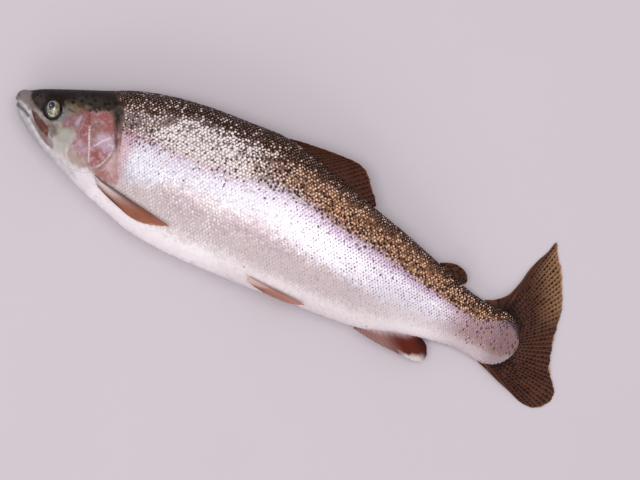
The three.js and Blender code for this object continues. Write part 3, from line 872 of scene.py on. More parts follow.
class Value:
    """A number, colour or vector that a finish works out, written as arithmetic."""

    def __init__(self, shading: "Shading", socket: bpy.types.NodeSocket) -> None:
        """Wraps a socket of a finish's tree."""
        self.shading = shading
        self.socket = socket

    @property
    def wide(self) -> bool:
        """Whether it has three parts."""
        return self.socket.type in {"VECTOR", "RGBA"}

    def _do(self, operation: str, *others: "Input", turned: bool = False) -> "Value":
        """Adds one node of arithmetic.

        Args:
            operation: the node's operation.
            others: what it works with after this value.
            turned: whether the terms come in the other order.

        Returns:
            The result, with three parts if any term has them.
        """
        terms = [self, *others]
        if turned:
            terms.reverse()
        if any(term.wide if isinstance(term, Value) else isinstance(term, tuple) for term in terms):
            terms = [(term,) * 3 if isinstance(term, (int, float)) else term for term in terms]
            return self.shading.node("ShaderNodeVectorMath", {"operation": operation}, *terms)
        return self.shading.node("ShaderNodeMath", {"operation": operation}, *terms)

    def __add__(self, other: "Input") -> "Value":
        """The sum."""
        return self._do("ADD", other)

    __radd__ = __add__

    def __sub__(self, other: "Input") -> "Value":
        """The difference."""
        return self._do("SUBTRACT", other)

    def __rsub__(self, other: "Input") -> "Value":
        """The difference from a number before it."""
        return self._do("SUBTRACT", other, turned=True)

    def __mul__(self, other: "Input") -> "Value":
        """The product."""
        return self._do("MULTIPLY", other)

    __rmul__ = __mul__

    def __truediv__(self, other: "Input") -> "Value":
        """The quotient."""
        return self._do("DIVIDE", other)

    def __rtruediv__(self, other: "Input") -> "Value":
        """The quotient of a number before it."""
        return self._do("DIVIDE", other, turned=True)

    def __pow__(self, power: "Input") -> "Value":
        """The power."""
        return self._do("POWER", power)

    def __abs__(self) -> "Value":
        """Its size without its sign."""
        return self._do("ABSOLUTE")

    def wave(self) -> "Value":
        """Its sine."""
        return self._do("SINE")

    def floor(self) -> "Value":
        """The whole number under it."""
        return self._do("FLOOR")

    def part(self) -> "Value":
        """What is left of it over the whole number under it."""
        return self._do("FRACT")

    def chance(self) -> "Value":
        """A number from 0 to 1 that has nothing to do with its neighbours'."""
        return ((self * 12.9898).wave() * 4758.5453).part()

    def least(self, other: "Input") -> "Value":
        """The smaller of it and another."""
        return self._do("MINIMUM", other)

    def most(self, other: "Input") -> "Value":
        """The larger of it and another."""
        return self._do("MAXIMUM", other)

    def ease(self, low: float, high: float) -> "Value":
        """A smooth step from 0 at low to 1 at high, which may be the smaller."""
        if low > high:
            return 1.0 - self.ease(high, low)
        smooth = {"interpolation_type": "SMOOTHSTEP"}
        return self.shading.node("ShaderNodeMapRange", smooth, self, float(low), float(high))

    def parts(self) -> "list[Value]":
        """Its three parts, as numbers."""
        split = self.shading.raw("ShaderNodeSeparateXYZ", {}, self)
        return [Value(self.shading, socket) for socket in split.outputs]


Input = Value | float | tuple


class Shading:
    """One material's tree of nodes."""

    def __init__(self, name: str) -> None:
        """Starts a material with one surface shader.

        Args:
            name: the material's name.
        """
        self.material = bpy.data.materials.new(name)
        self.material.use_nodes = True
        self.tree = self.material.node_tree
        self.tree.nodes.clear()
        self.surface = self.tree.nodes.new("ShaderNodeBsdfPrincipled")
        output = self.tree.nodes.new("ShaderNodeOutputMaterial")
        self.tree.links.new(self.surface.outputs["BSDF"], output.inputs["Surface"])

    def feed(self, socket: bpy.types.NodeSocket, value: Input) -> None:
        """Sets one input to a number, colour or vector, or links it to a Value."""
        if isinstance(value, Value):
            self.tree.links.new(value.socket, socket)
        elif isinstance(value, tuple) and socket.type == "RGBA":
            socket.default_value = (*value, 1.0) if len(value) == 3 else value
        else:
            socket.default_value = value

    def raw(self, kind: str, settings: dict, *inputs: Input, **named: Input) -> bpy.types.Node:
        """A node with its settings and inputs.

        Args:
            kind: the node's type.
            settings: its properties, by name.
            inputs: values or links for its inputs, in order.
            named: values or links for inputs by name, with _ for a space.

        Returns:
            The node.
        """
        node = self.tree.nodes.new(kind)
        for key, value in settings.items():
            setattr(node, key, value)
        for socket, value in zip([s for s in node.inputs if s.enabled], inputs):
            self.feed(socket, value)
        for key, value in named.items():
            self.feed(node.inputs[key.replace("_", " ")], value)
        return node

    def node(self, kind: str, settings: dict, *inputs: Input, **named: Input) -> Value:
        """As raw, but returns the node's first output as a Value."""
        made = self.raw(kind, settings, *inputs, **named)
        return Value(self, next(s for s in made.outputs if s.enabled))

    def join(self, x: Input, y: Input, z: Input = 0.0) -> Value:
        """A vector of three numbers."""
        return self.node("ShaderNodeCombineXYZ", {}, x, y, z)

    def attribute(self, name: str) -> Value:
        """A mesh's stored numbers, as a vector."""
        made = self.raw("ShaderNodeAttribute", {"attribute_name": name})
        return Value(self, made.outputs["Vector"])

    def painted(self, name: str) -> tuple[Value, Value]:
        """A mesh's stored colour, and its fourth part."""
        made = self.raw("ShaderNodeAttribute", {"attribute_name": name})
        return Value(self, made.outputs["Color"]), Value(self, made.outputs["Alpha"])

    def place(self) -> Value:
        """The point's place on the object, in metres."""
        return Value(self, self.raw("ShaderNodeTexCoord", {}).outputs["Object"])

    def noise(self, place: Value, scale: float, detail: float = 2.0, rough: float = 0.5) -> Value:
        """Cloudy noise from 0 to 1, with features of about 1 / scale."""
        named = {"Vector": place, "Scale": scale, "Detail": detail, "Roughness": rough}
        return self.node("ShaderNodeTexNoise", {}, **named)

    def cells(self, place: Value, scale: float) -> tuple[Value, Value]:
        """Points scattered on a plane.

        Args:
            place: where they are read.
            scale: how many there are to the unit.

        Returns:
            The distance to the nearest one, and its own chance from 0 to 1.
        """
        flat = {"voronoi_dimensions": "2D"}
        made = self.raw("ShaderNodeTexVoronoi", flat, Vector=place, Scale=scale, Randomness=1.0)
        own = Value(self, made.outputs["Color"]).parts()[0]
        return Value(self, made.outputs["Distance"]), own

    def mix(self, share: Input, a: Input, b: Input) -> Value:
        """The colour between two.

        Args:
            share: how much of the second colour it has.
            a: the first colour.
            b: the second colour.

        Returns:
            The mixed colour.
        """
        made = self.raw("ShaderNodeMix", {"data_type": "RGBA"})
        colours = [socket for socket in made.inputs if socket.type == "RGBA"]
        for socket, value in zip((made.inputs[0], *colours), (share, a, b)):
            self.feed(socket, value)
        return Value(self, next(socket for socket in made.outputs if socket.type == "RGBA"))

    def bump(self, height: Value, depth: float) -> Value:
        """A normal bent by a height, where a height of 1 is some depth in metres."""
        return self.node("ShaderNodeBump", {}, Strength=1.0, Distance=depth, Height=height)

    def done(self, **inputs: Input) -> Finish:
        """Feeds the surface by its inputs' names, with _ for a space."""
        for key, value in inputs.items():
            self.feed(self.surface.inputs[key.replace("_", " ")], value)
        return self.material


@dataclass(frozen=True)
class TroutHide:
    """The flesh's colours, with painted light and shade, alike on the skin and the scales over it.

    Places are shares: along from the snout to the tail's root, and down from the back to the belly.
    A pair says where a change starts and where it is complete.
    """

    crest: Colour = rgb(52, 32, 21)
    umber: Colour = rgb(96, 68, 55)
    mauve: Colour = rgb(182, 158, 156)
    tan: Colour = rgb(196, 142, 108)
    lilac: Colour = rgb(212, 190, 208)
    silver: Colour = rgb(214, 211, 221)
    rear_silver: Colour = rgb(246, 240, 248)
    pearl: Colour = rgb(208, 193, 193)
    cream: Colour = rgb(252, 245, 246)
    stalk: Colour = rgb(168, 134, 132)
    under_stalk: Colour = rgb(200, 184, 188)
    spot: Colour = rgb(38, 19, 14)
    gap: Colour = rgb(58, 35, 25)
    # Painted highlights: gleam, amber, glint and gold are the lamp's glints off the wet scales.
    gleam: Colour = rgb(206, 184, 172)
    amber: Colour = rgb(222, 166, 126)
    glint: Colour = rgb(255, 250, 246)
    gold: Colour = rgb(250, 218, 178)
    rose: Colour = rgb(186, 134, 136)
    # Painted highlight: haze is the colour of the bright cloud behind the shoulder.
    haze: Colour = rgb(236, 222, 218)
    # Painted shade: dusk is the grey strip where the light falls off under the silver flank.
    dusk: Colour = rgb(172, 152, 162)
    hollow: Colour = rgb(98, 70, 100)
    rear_hollow: Colour = rgb(146, 118, 154)
    belly_hollow: Colour = rgb(164, 146, 146)
    vein: Colour = rgb(148, 84, 78)
    lilac_sheen: Colour = rgb(208, 182, 192)
    glint_fleck: Colour = rgb(250, 242, 244)
    smudge: Colour = rgb(150, 140, 130)
    crown_grain: Colour = rgb(104, 94, 78)

    warmer: Pair = (0.36, 0.6)
    tailward: Pair = (0.46, 0.64)
    pad: Pair = (0.82, 0.91)
    stalk_end: Pair = (0.93, 0.965)
    belly: Pair = (0.79, 0.92)
    silver_end: Pair = (0.66, 0.54)
    lilac_line: Pair = (0.48, 0.38)
    back_end: Pair = (0.37, 0.3)
    dark_end: Pair = (0.4, 0.31)
    crest_end: Pair = (0.15, 0.05)
    spots_to_unit: float = 132.0
    crown_spots_to_unit: float = 78.0

    @staticmethod
    def lifted(along: Value, down: Value) -> Value:
        """How far down a place is, against a back that narrows over the vent and at the stalk."""
        over_vent = along.ease(0.42, 0.54) * along.ease(0.84, 0.7)
        return down + 0.06 * over_vent + 0.3 * along.ease(0.9, 0.99)

    @staticmethod
    def flare(along: Value, level: Value) -> Value:
        """Painted highlight: a bright cloud on the back behind the shoulder, cut by a dark line."""
        dark_line = abs(along - 0.315 + 0.26 * level).ease(0.016, 0.006) * level.ease(0.34, 0.28)
        high = (level + 0.05 * along.ease(0.26, 0.3)).ease(0.12, 0.21)
        return high * along.ease(0.2, 0.28) * along.ease(0.5, 0.4) * (1.0 - dark_line)

    def flank_colour(self, s: Shading, along: Value, level: Value, to_tail: Value) -> Value:
        """The belly, the silver flank and a grey strip of painted shade under it.

        Args:
            s: the finish being made.
            along: how far it is towards the tail.
            level: how far down it is, with a rough border.
            to_tail: whether it is on the rear half.

        Returns:
            The colour.
        """
        rear = along.ease(0.66, 0.8)
        pearl = s.mix(0.45 * rear, self.pearl, self.cream)
        belly = level.ease(*self.belly) * (1.0 - 0.45 * along.ease(0.4, 0.5))
        colour = s.mix(belly, pearl, self.cream)
        # The silver is partly the flank's own and partly a painted highlight, paler to the tail.
        silver = s.mix(to_tail, self.silver, self.rear_silver)
        reach = level + 0.04 - 0.07 * to_tail - 0.05 * rear - 0.12 * along.ease(0.34, 0.26)
        colour = s.mix(reach.ease(*self.silver_end), colour, silver)
        # Painted shade: a grey strip where the light falls off under the silver band.
        strip = level.ease(0.59, 0.65) * level.ease(0.75, 0.67)
        strip = strip * along.ease(0.28, 0.34) * along.ease(0.6, 0.52)
        return s.mix(strip * 0.5, colour, self.dusk)

    def body_colour(self, s: Shading, spread: Input) -> tuple[Value, Value, Value, Value]:
        """The colour behind the head.

        Args:
            s: the finish being made.
            spread: a number around 0 that roughens the borders between colours.

        Returns:
            The colour, how dark-backed it is from 0 to 1, how far it is towards the tail, and how
            far down the flank it is.
        """
        along, down, _ = s.attribute("body").parts()
        cloud = s.noise(s.place(), 60.0, 3.0) - 0.5
        level = down + 0.08 * cloud + spread
        high = self.lifted(along, level)
        to_tail = along.ease(*self.tailward)
        colour = self.flank_colour(s, along, level, to_tail)
        lilac = high.ease(*self.lilac_line) * (0.5 + 0.5 * to_tail)
        colour = s.mix(lilac, colour, self.lilac)
        rosy = high.ease(0.28, 0.33) * high.ease(0.4, 0.36) * along.ease(0.46, 0.36)
        colour = s.mix(rosy * 0.6, colour, self.rose)
        pad = s.mix(level.ease(0.7, 0.84), self.stalk, self.under_stalk)
        colour = s.mix(along.ease(*self.pad), colour, pad)
        colour = s.mix(along.ease(*self.stalk_end) * 0.4, colour, self.umber)
        shoulder = along.ease(0.238, 0.218) * level.ease(0.32, 0.38) * level.ease(0.74, 0.68)
        colour = s.mix(shoulder * 0.6, colour, self.rose)
        upper = high.ease(*self.back_end)
        tan = s.mix(0.3 * along.ease(0.78, 0.88), self.tan, self.umber)
        colour = s.mix(upper, colour, s.mix(along.ease(*self.warmer), self.mauve, tan))
        # The bright cloud behind the shoulder is a painted highlight, in the haze colour.
        pale = self.flare(along, level) * level.ease(0.18, 0.27) * upper
        colour = s.mix(pale * 0.58, colour, self.haze)
        edge = 0.12 + 0.07 * along.ease(0.28, 0.24) + 0.06 * along.ease(0.4, 0.5)
        deep = (edge - level).ease(-0.03, 0.05) * (1.0 - 0.8 * to_tail)
        colour = s.mix(deep, colour, self.umber)
        ridge = level + 0.02 * to_tail - 0.1 * along.ease(0.8, 0.88)
        colour = s.mix(ridge.ease(*self.crest_end), colour, self.crest)
        return colour, self.lifted(along, down).ease(*self.dark_end), to_tail, level

    def spots(self, s: Shading) -> Value:
        """Where the black spots are.

        Args:
            s: the finish being made.

        Returns:
            1 in a spot and 0 outside it.
        """
        along, down, below = s.attribute("body").parts()
        wander = (s.noise(s.place(), 620.0, 2.0) - 0.5) * 0.004
        # Towards the tail's root the spots draw out into dashes.
        stretch = (along - 0.88).most(0.0)
        across = (below - wander) * (1.0 - 2.4 * stretch)
        near, chance = s.cells(s.join(along + wander + 0.9 * stretch, across), self.spots_to_unit)
        high = self.lifted(along, down)
        wanted = 0.95 * down.ease(0.08, 0.2) * high.ease(0.4, 0.34)
        wanted = wanted * (0.24 + 0.76 * along.ease(0.34, 0.52)) + 0.12 * high.ease(0.6, 0.4)
        band = high.ease(0.22, 0.3) * high.ease(0.46, 0.38)
        wanted = wanted + 0.4 * along.ease(0.32, 0.25) * band
        wanted = wanted * s.noise(s.place(), 45.0, 2.0).ease(0.15, 0.55)
        wanted = wanted + 0.36 * along.ease(0.86, 0.93) * down.ease(0.86, 0.7)
        ragged = 0.4 * (s.noise(s.place(), 850.0, 1.0) - 0.5)
        kept = (wanted - chance).ease(-0.02, 0.02)
        return kept * (0.25 + 0.18 * chance + ragged - near).ease(-0.08, 0.08)

    def head_colour(self, s: Shading, cloud: Value, fine: Value, crown: Value) -> Value:
        """The painted colour of the bare head, with veins, flecks and small spots.

        Args:
            s: the finish being made.
            cloud: soft noise.
            fine: fine noise.
            crown: where the head is dark.

        Returns:
            The colour.
        """
        place = s.place()
        head, pink = s.painted("head")
        below_crown = 1.0 - crown
        veins = s.noise(place, 240.0, 5.0, 0.72).ease(0.4, 0.64)
        head = s.mix(pink * veins * 0.4, head, self.vein)
        # Painted sheen: pale lilac clouds on the pink parts.
        lilac_sheen = s.noise(place, 150.0, 4.0, 0.65).ease(0.46, 0.68)
        head = s.mix(pink * lilac_sheen * 0.5, head, self.lilac_sheen)
        # Painted wet glints: white specks below the crown, most on the pink parts.
        glint_specks = s.noise(place, 900.0, 2.0).ease(0.64, 0.74)
        head = s.mix(glint_specks * (0.1 + 0.5 * pink) * below_crown, head, self.glint_fleck)
        head = s.mix((1.0 - pink) * below_crown * cloud.ease(0.45, 0.7) * 0.25, head, self.smudge)
        head = s.mix(crown * fine.ease(0.5, 0.7) * 0.12, head, self.crown_grain)
        along, _, below = s.attribute("body").parts()
        moved = s.join(along + 0.006 * cloud, below + 0.006 * fine)
        near, chance = s.cells(moved, self.crown_spots_to_unit)
        marks = (0.24 - chance).ease(-0.02, 0.02) * (0.2 + 0.1 * cloud - near).ease(-0.03, 0.05)
        return s.mix(marks * crown, head, self.spot)

    def skin(self) -> Finish:
        """The finish of the skin under the scales and of the bare head."""
        s = Shading("trout skin")
        place = s.place()
        covered, ring, crown = s.attribute("cover").parts()
        cloud = s.noise(place, 130.0, 4.0, 0.6)
        fine = s.noise(place, 900.0, 3.0, 0.6)
        body, dark, _, _ = self.body_colour(s, 0.0)
        body = s.mix(dark * 0.4, body, self.gap)
        body = s.mix(self.spots(s), body, self.spot)
        head = self.head_colour(s, cloud, fine, crown)
        colour = s.mix(ring, s.mix(1.0 - covered, body, head), self.spot)
        return s.done(
            Base_Color=colour, Metallic=0.0, Roughness=0.3 + 0.16 * fine + 0.12 * crown,
            Normal=s.bump(fine + 1.5 * cloud, 0.0003), IOR=1.38, Coat_Weight=0.3 * (1.0 - crown),
            Coat_Roughness=0.12, Specular_IOR_Level=0.25,
        )

    def hollowed(
        self, s: Shading, colour: Value, grit: Value, shares: tuple[Value, Value, Value]
    ) -> Value:
        """The shaded hollow at the root of each scale, violet on the flank and grey on the belly.

        Args:
            s: the finish being made.
            colour: the scale's colour.
            grit: fine noise around 0.
            shares: how dark-backed the place is, how far towards the tail, and the scale's chance.

        Returns:
            The colour with the hollow.
        """
        dark, to_tail, again = shares
        length, across, _ = s.attribute("scale").parts()
        along, down, _ = s.attribute("body").parts()
        rear = along.ease(0.6, 0.72)
        pit = (length + 0.6 * grit - 0.08 * rear).ease(0.34, 0.04)
        pit = pit * (abs(across) + 0.6 * grit).ease(0.42, 0.12)
        violet = 0.1 + 0.3 * down.ease(0.5, 0.4) + 0.9 * again * again + 0.2 * to_tail
        placed = 0.55 + 0.45 * to_tail + 0.3 * rear + 0.25 * along.ease(0.36, 0.26)
        share = (pit * down.ease(0.72, 0.6) * violet * placed * (1.0 - dark)).least(0.9)
        colour = s.mix(share, colour, s.mix(0.5 * rear, self.hollow, self.rear_hollow))
        below = down.ease(0.6, 0.68) * down.ease(0.92, 0.8)
        return s.mix(pit * below * again * again * 0.8, colour, self.belly_hollow)

    def scales(self) -> Finish:
        """The finish of the scales: the skin's markings, with each scale's own painted glint."""
        s = Shading("trout scales")
        place = s.place()
        length, across, chance = s.attribute("scale").parts()
        again = (chance * 7.31 + 3.0).chance()
        third = (chance * 3.17 + 1.0).chance()
        fourth = (chance * 5.03 + 2.0).chance()
        along, down, _ = s.attribute("body").parts()
        colour, dark, to_tail, level = self.body_colour(s, (chance - 0.5) * 0.05)
        ahead = length - (0.34 + 0.4 * fourth)
        off = across + 0.5 * (third - 0.5)
        away = (ahead * ahead * 2.9 + off * off * 1.9) ** 0.5
        grit = s.noise(place, 900.0, 1.0) - 0.5
        colour = s.mix((away * 0.9).ease(0.36, 0.6) * dark * 0.28, colour, self.gap)
        colour = self.hollowed(s, colour, grit, (dark, to_tail, again))
        # Chance and the place on the back decide how brightly each scale is lit, with a bright
        # cloud behind the shoulder. The light is painted: lit scales are paler, unlit ones darker.
        flare = self.flare(along, level)
        patchy = s.noise(place, 75.0, 2.0).ease(0.3, 0.62) - 0.5
        warm = along.ease(*self.warmer)
        lit = 0.1 + 0.26 * level.ease(0.05, 0.16) + 0.16 * level.ease(0.16, 0.26) * (1.0 - to_tail)
        lit = lit + 0.5 * flare + 0.36 * patchy + 0.34 * warm * level.ease(0.06, 0.14)
        chosen = (lit - again).ease(-0.16, 0.16)
        reach = 0.34 + chosen * (0.34 + 0.2 * flare) + 1.1 * grit
        fill = (reach - away).ease(-0.06, 0.12) * (0.25 + 0.75 * chosen)
        deep = 0.56 - 0.1 * level.ease(0.1, 0.2)
        deep = deep + 0.1 * flare - 0.4 * flare * level.ease(0.14, 0.26)
        colour = s.mix((1.0 - fill) * dark * deep, colour, self.gap)
        gleam = s.mix(warm, s.mix(flare, self.gleam, self.haze), self.amber)
        colour = s.mix(fill * dark * 0.9, colour, gleam)
        # A painted wet glint, small on the crest and wide in the cloud.
        width = 0.12 + 0.12 * third + chosen * (0.1 + 0.3 * flare) + 0.08 * patchy
        painted_glint = (width + 0.9 * grit - away).ease(-0.05, 0.09)
        bright = s.mix(to_tail * level.ease(0.06, 0.16) * 0.6, self.glint, self.gold)
        crested = 0.35 + 0.65 * chosen + 0.3 * to_tail * level.ease(0.1, 0.03)
        colour = s.mix((painted_glint * crested * dark).least(1.0), colour, bright)
        colour = s.mix(painted_glint * (1.0 - dark) * 0.5 * again, colour, self.glint)
        colour = s.mix(self.spots(s) * (0.8 + 0.12 * along.ease(0.3, 0.45)), colour, self.spot)
        rings = (length * 34.0 + across * across * 12.0).wave()
        return s.done(
            Base_Color=colour,
            Metallic=(1.0 - dark) * (0.1 + 0.26 * down.ease(0.8, 0.6)) * along.ease(0.95, 0.86),
            Roughness=0.3 + 0.14 * down.ease(0.55, 0.85) + 0.1 * (chance - 0.5) + 0.1 * dark,
            Normal=s.bump(rings + 2.0 * s.noise(place, 1500.0), 0.000012), IOR=1.4,
            Coat_Weight=0.22 * (1.0 - dark), Coat_Roughness=0.15, Specular_IOR_Level=0.12,
        )


@dataclass(frozen=True)
class FinWeb:
    """The finish of a fin: rays, the webs between them, and spots in rows.

    Attributes:
        root, web, ray, tip: the colours at the base, between the rays, on them and at the margin.
        tip_from, root_to: shares of a ray's length where tip starts and root ends.
        lead, lead_to: how dark the first rays are, and the share of the breadth where they end.
        glow: how much paler the web is towards the first rays' ends.
        scatter: spots to the metre, instead of in rows.
        rear, flag: the colours of the last rays and of the longest rays' ends.
        beat: spots to the centimetre along a row.
    """

    name: str
    root: Colour
    web: Colour
    ray: Colour
    tip: Colour
    rays: float
    tip_from: float = 0.8
    root_to: float = 0.25
    spots: float = 0.0
    lead: float = 0.0
    lead_to: float = 0.07
    glow: float = 0.0
    scatter: float = 0.0
    rear: Colour | None = None
    flag: Colour | None = None
    spot: Colour = rgb(22, 11, 9)
    beat: float = 2.9

    def scattered(self, s: Shading) -> Value:
        """Round spots anywhere on the fin: 1 in a spot and 0 outside it."""
        place = s.place()
        near, size = s.cells(place + (s.noise(place, 400.0) - 0.5) * 0.001, self.scatter)
        return (0.24 + 0.2 * size - near).ease(-0.04, 0.06) * self.spots

    def rowed(self, row: Value, carried: tuple[Value, Value, Value]) -> Value:
        """Spots in rows between the rays.

        Args:
            row: the place across the fin, in rows.
            carried: the distance out along the ray, the share of its length, and the fin's breadth.

        Returns:
            1 in a spot and 0 outside it.
        """
        out, along, spread = carried
        beat = out * self.beat + row.floor().chance()
        side = (row.part() - 0.5) * spread / (self.rays * 2.0)
        ahead = (beat.part() - 0.5) / self.beat
        away = (side * side * 2.2 + ahead * ahead) ** 0.5
        size = (beat.floor() * 3.7 + row.floor() * 9.1).chance()
        return (0.085 + 0.085 * size - away).ease(-0.025, 0.03) * along.ease(1.0, 0.93) * self.spots

    def make(self) -> Finish:
        """Builds the material, which reads what the fin's corners carry."""
        s = Shading(self.name)
        place = s.place()
        carried, spread = s.painted("ray")
        across, out, along = carried.parts()
        cloud = s.noise(place, 90.0, 3.0)
        wobble = (s.noise(place, 160.0) - 0.5) * 0.004
        row = (across + wobble) * (self.rays * 2.0)
        fork = along.ease(0.3, 0.5)
        fine = (row * 2.0 * math.pi).wave() * 0.5 + 0.5
        coarse = (row * math.pi).wave() * 0.5 + 0.5
        line = (coarse * (1.0 - fork) + fine * fork) ** 1.8
        pale = along.ease(0.4, 0.95) * across.ease(0.5, 0.32) * across.ease(0.06, 0.12)
        web = s.mix(self.glow * pale, self.web, self.tip)
        colour = s.mix(cloud.ease(0.4, 0.75) * 0.35, web, self.ray)
        colour = s.mix(line * 0.75, colour, self.ray)
        colour = s.mix(along.ease(self.root_to, 0.0), colour, self.root)
        margin = (along + 0.16 * (cloud - 0.5)).ease(self.tip_from, 1.0)
        colour = s.mix(margin * 0.9, colour, self.tip)
        if self.rear:
            colour = s.mix(across.ease(0.36, 0.66) * along.ease(0.05, 0.4), colour, self.rear)
            dusk = across.ease(0.72, 0.94) * along.ease(0.2, 0.6)
            colour = s.mix(dusk * 0.8, colour, self.spot)
        if self.flag:
            end = across.ease(0.5, 0.62) * across.ease(0.84, 0.72)
            end = end * (along + 0.3 * (cloud - 0.5)).ease(0.76, 0.94)
            colour = s.mix(end * 0.9, colour, self.flag)
        if self.scatter:
            colour = s.mix(self.scattered(s), colour, self.spot)
        elif self.spots:
            colour = s.mix(self.rowed(row, (out, along, spread)), colour, self.spot)
        if self.lead:
            first = across.ease(self.lead_to, 0.02) * along.ease(1.1, 0.3)
            colour = s.mix(first * self.lead, colour, self.spot)
        return s.done(
            Base_Color=colour, Metallic=0.0, Roughness=0.34 + 0.2 * cloud,
            Normal=s.bump(line + 0.3 * s.noise(place, 1200.0), 0.0004), IOR=1.38, Coat_Weight=0.04,
            Coat_Roughness=0.16, Specular_IOR_Level=0.1,
        )


@dataclass(frozen=True)
class EyeGlaze:
    """The finish of an eyeball, painted in millimetres from its middle."""

    pupil: Colour = rgb(15, 19, 42)
    haze: Colour = rgb(36, 50, 100)
    # Painted reflection: glow is the small pale glint on the pupil.
    glow: Colour = rgb(178, 194, 226)
    iris: Colour = rgb(118, 118, 94)
    pale: Colour = rgb(178, 178, 152)
    cream: Colour = rgb(212, 206, 178)
    gold: Colour = rgb(112, 92, 50)
    rose: Colour = rgb(146, 96, 96)
    dusk: Colour = rgb(30, 22, 26)
    moist: Colour = rgb(92, 94, 86)
    middle: Pair = (-0.1, 1.3)
    half: Pair = (6.0, 8.0)
    lean: Pair = (0.976, 0.234)

    @staticmethod
    def mottling(s: Shading) -> tuple[Value, Value]:
        """Soft and fine noise for the iris."""
        return s.noise(s.place(), 560.0, 4.0, 0.65), s.noise(s.place(), 1700.0, 2.0)

    def iris_colour(self, s: Shading, side: Value, along: Value) -> Value:
        """The mottled iris, golden above and behind, with a pale strip and a dark line.

        Args:
            s: the finish being made.
            side: the place across the iris.
            along: the place along it.

        Returns:
            The colour.
        """
        cloud, grain = self.mottling(s)
        iris = s.mix(cloud.ease(0.4, 0.6), self.iris, self.pale)
        iris = s.mix(side.ease(0.6, 2.6) * along.ease(-2.5, 1.5) * 0.75, iris, self.gold)
        strip = abs(side - 0.6 + 0.1 * along).ease(1.3, 0.4) * along.ease(2.6, 0.5)
        iris = s.mix(strip * 0.7, iris, self.cream)
        edge = side.ease(3.4, 4.8) * along.ease(-5.0, -2.5)
        iris = s.mix(edge * grain.ease(0.42, 0.56), iris, self.rose)
        iris = s.mix(grain.ease(0.55, 0.66) * 0.6, iris, self.dusk)
        dark_line = abs(side + 1.7).ease(0.6, 0.2) * along.ease(-6.0, -4.2) * along.ease(0.0, -1.0)
        return s.mix(dark_line * 0.6, iris, self.dusk)

    def make(self) -> Finish:
        """Builds the material."""
        s = Shading("trout eye")
        east, north, _ = s.attribute("eye").parts()
        cloud, grain = self.mottling(s)
        # Everything is measured across and along the iris, which leans forwards.
        east, north = east - self.middle[0], north - self.middle[1]
        rise, run = self.lean
        side = east * rise + north * run
        along = north * rise - east * run
        from_middle = ((side / self.half[0]) ** 2.0 + (along / self.half[1]) ** 2.0) ** 0.5
        across_pupil = (side + 1.7) * (0.45 - 0.026 * along)
        from_pupil = (across_pupil ** 2.0 + ((along - 1.8) / 3.8) ** 2.0) ** 0.5
        iris = self.iris_colour(s, side, along)
        wet = (along - 0.6 * side).ease(-4.0, -6.6) * from_middle.ease(1.34, 1.14)
        rim = s.mix(wet * 0.8, self.dusk, self.moist)
        colour = s.mix((from_middle + 0.12 * (cloud - 0.5)).ease(0.86, 0.96), iris, rim)
        pupil = s.mix(cloud.ease(0.45, 0.75) * 0.6, self.pupil, self.haze)
        # A painted reflection: a small pale glint on the pupil.
        painted_glint = (((side + 2.5) ** 2.0 + (along - 2.2) ** 2.0) ** 0.5).ease(0.8, 0.3)
        pupil = s.mix(painted_glint, pupil, self.glow)
        colour = s.mix(from_pupil.ease(1.25, 1.1) * 0.4, colour, self.pale)
        colour = s.mix(from_pupil.ease(1.06, 0.94), colour, pupil)
        return s.done(
            Base_Color=colour,
            Metallic=0.25 * from_pupil.ease(1.0, 1.2) * from_middle.ease(0.9, 0.8), Roughness=0.32,
            Normal=s.bump(grain, 0.00008), IOR=1.38, Coat_Weight=0.6, Coat_Roughness=0.03,
        )


# ---------------- the pieces


def body_shares(x: Array, y: Array, around: Array) -> Array:
    """What finishes read: shares along the body, down it, and around the flank."""
    return np.stack([x / BODY.length, BODY.down(x, y), around / BODY.length], axis=-1)


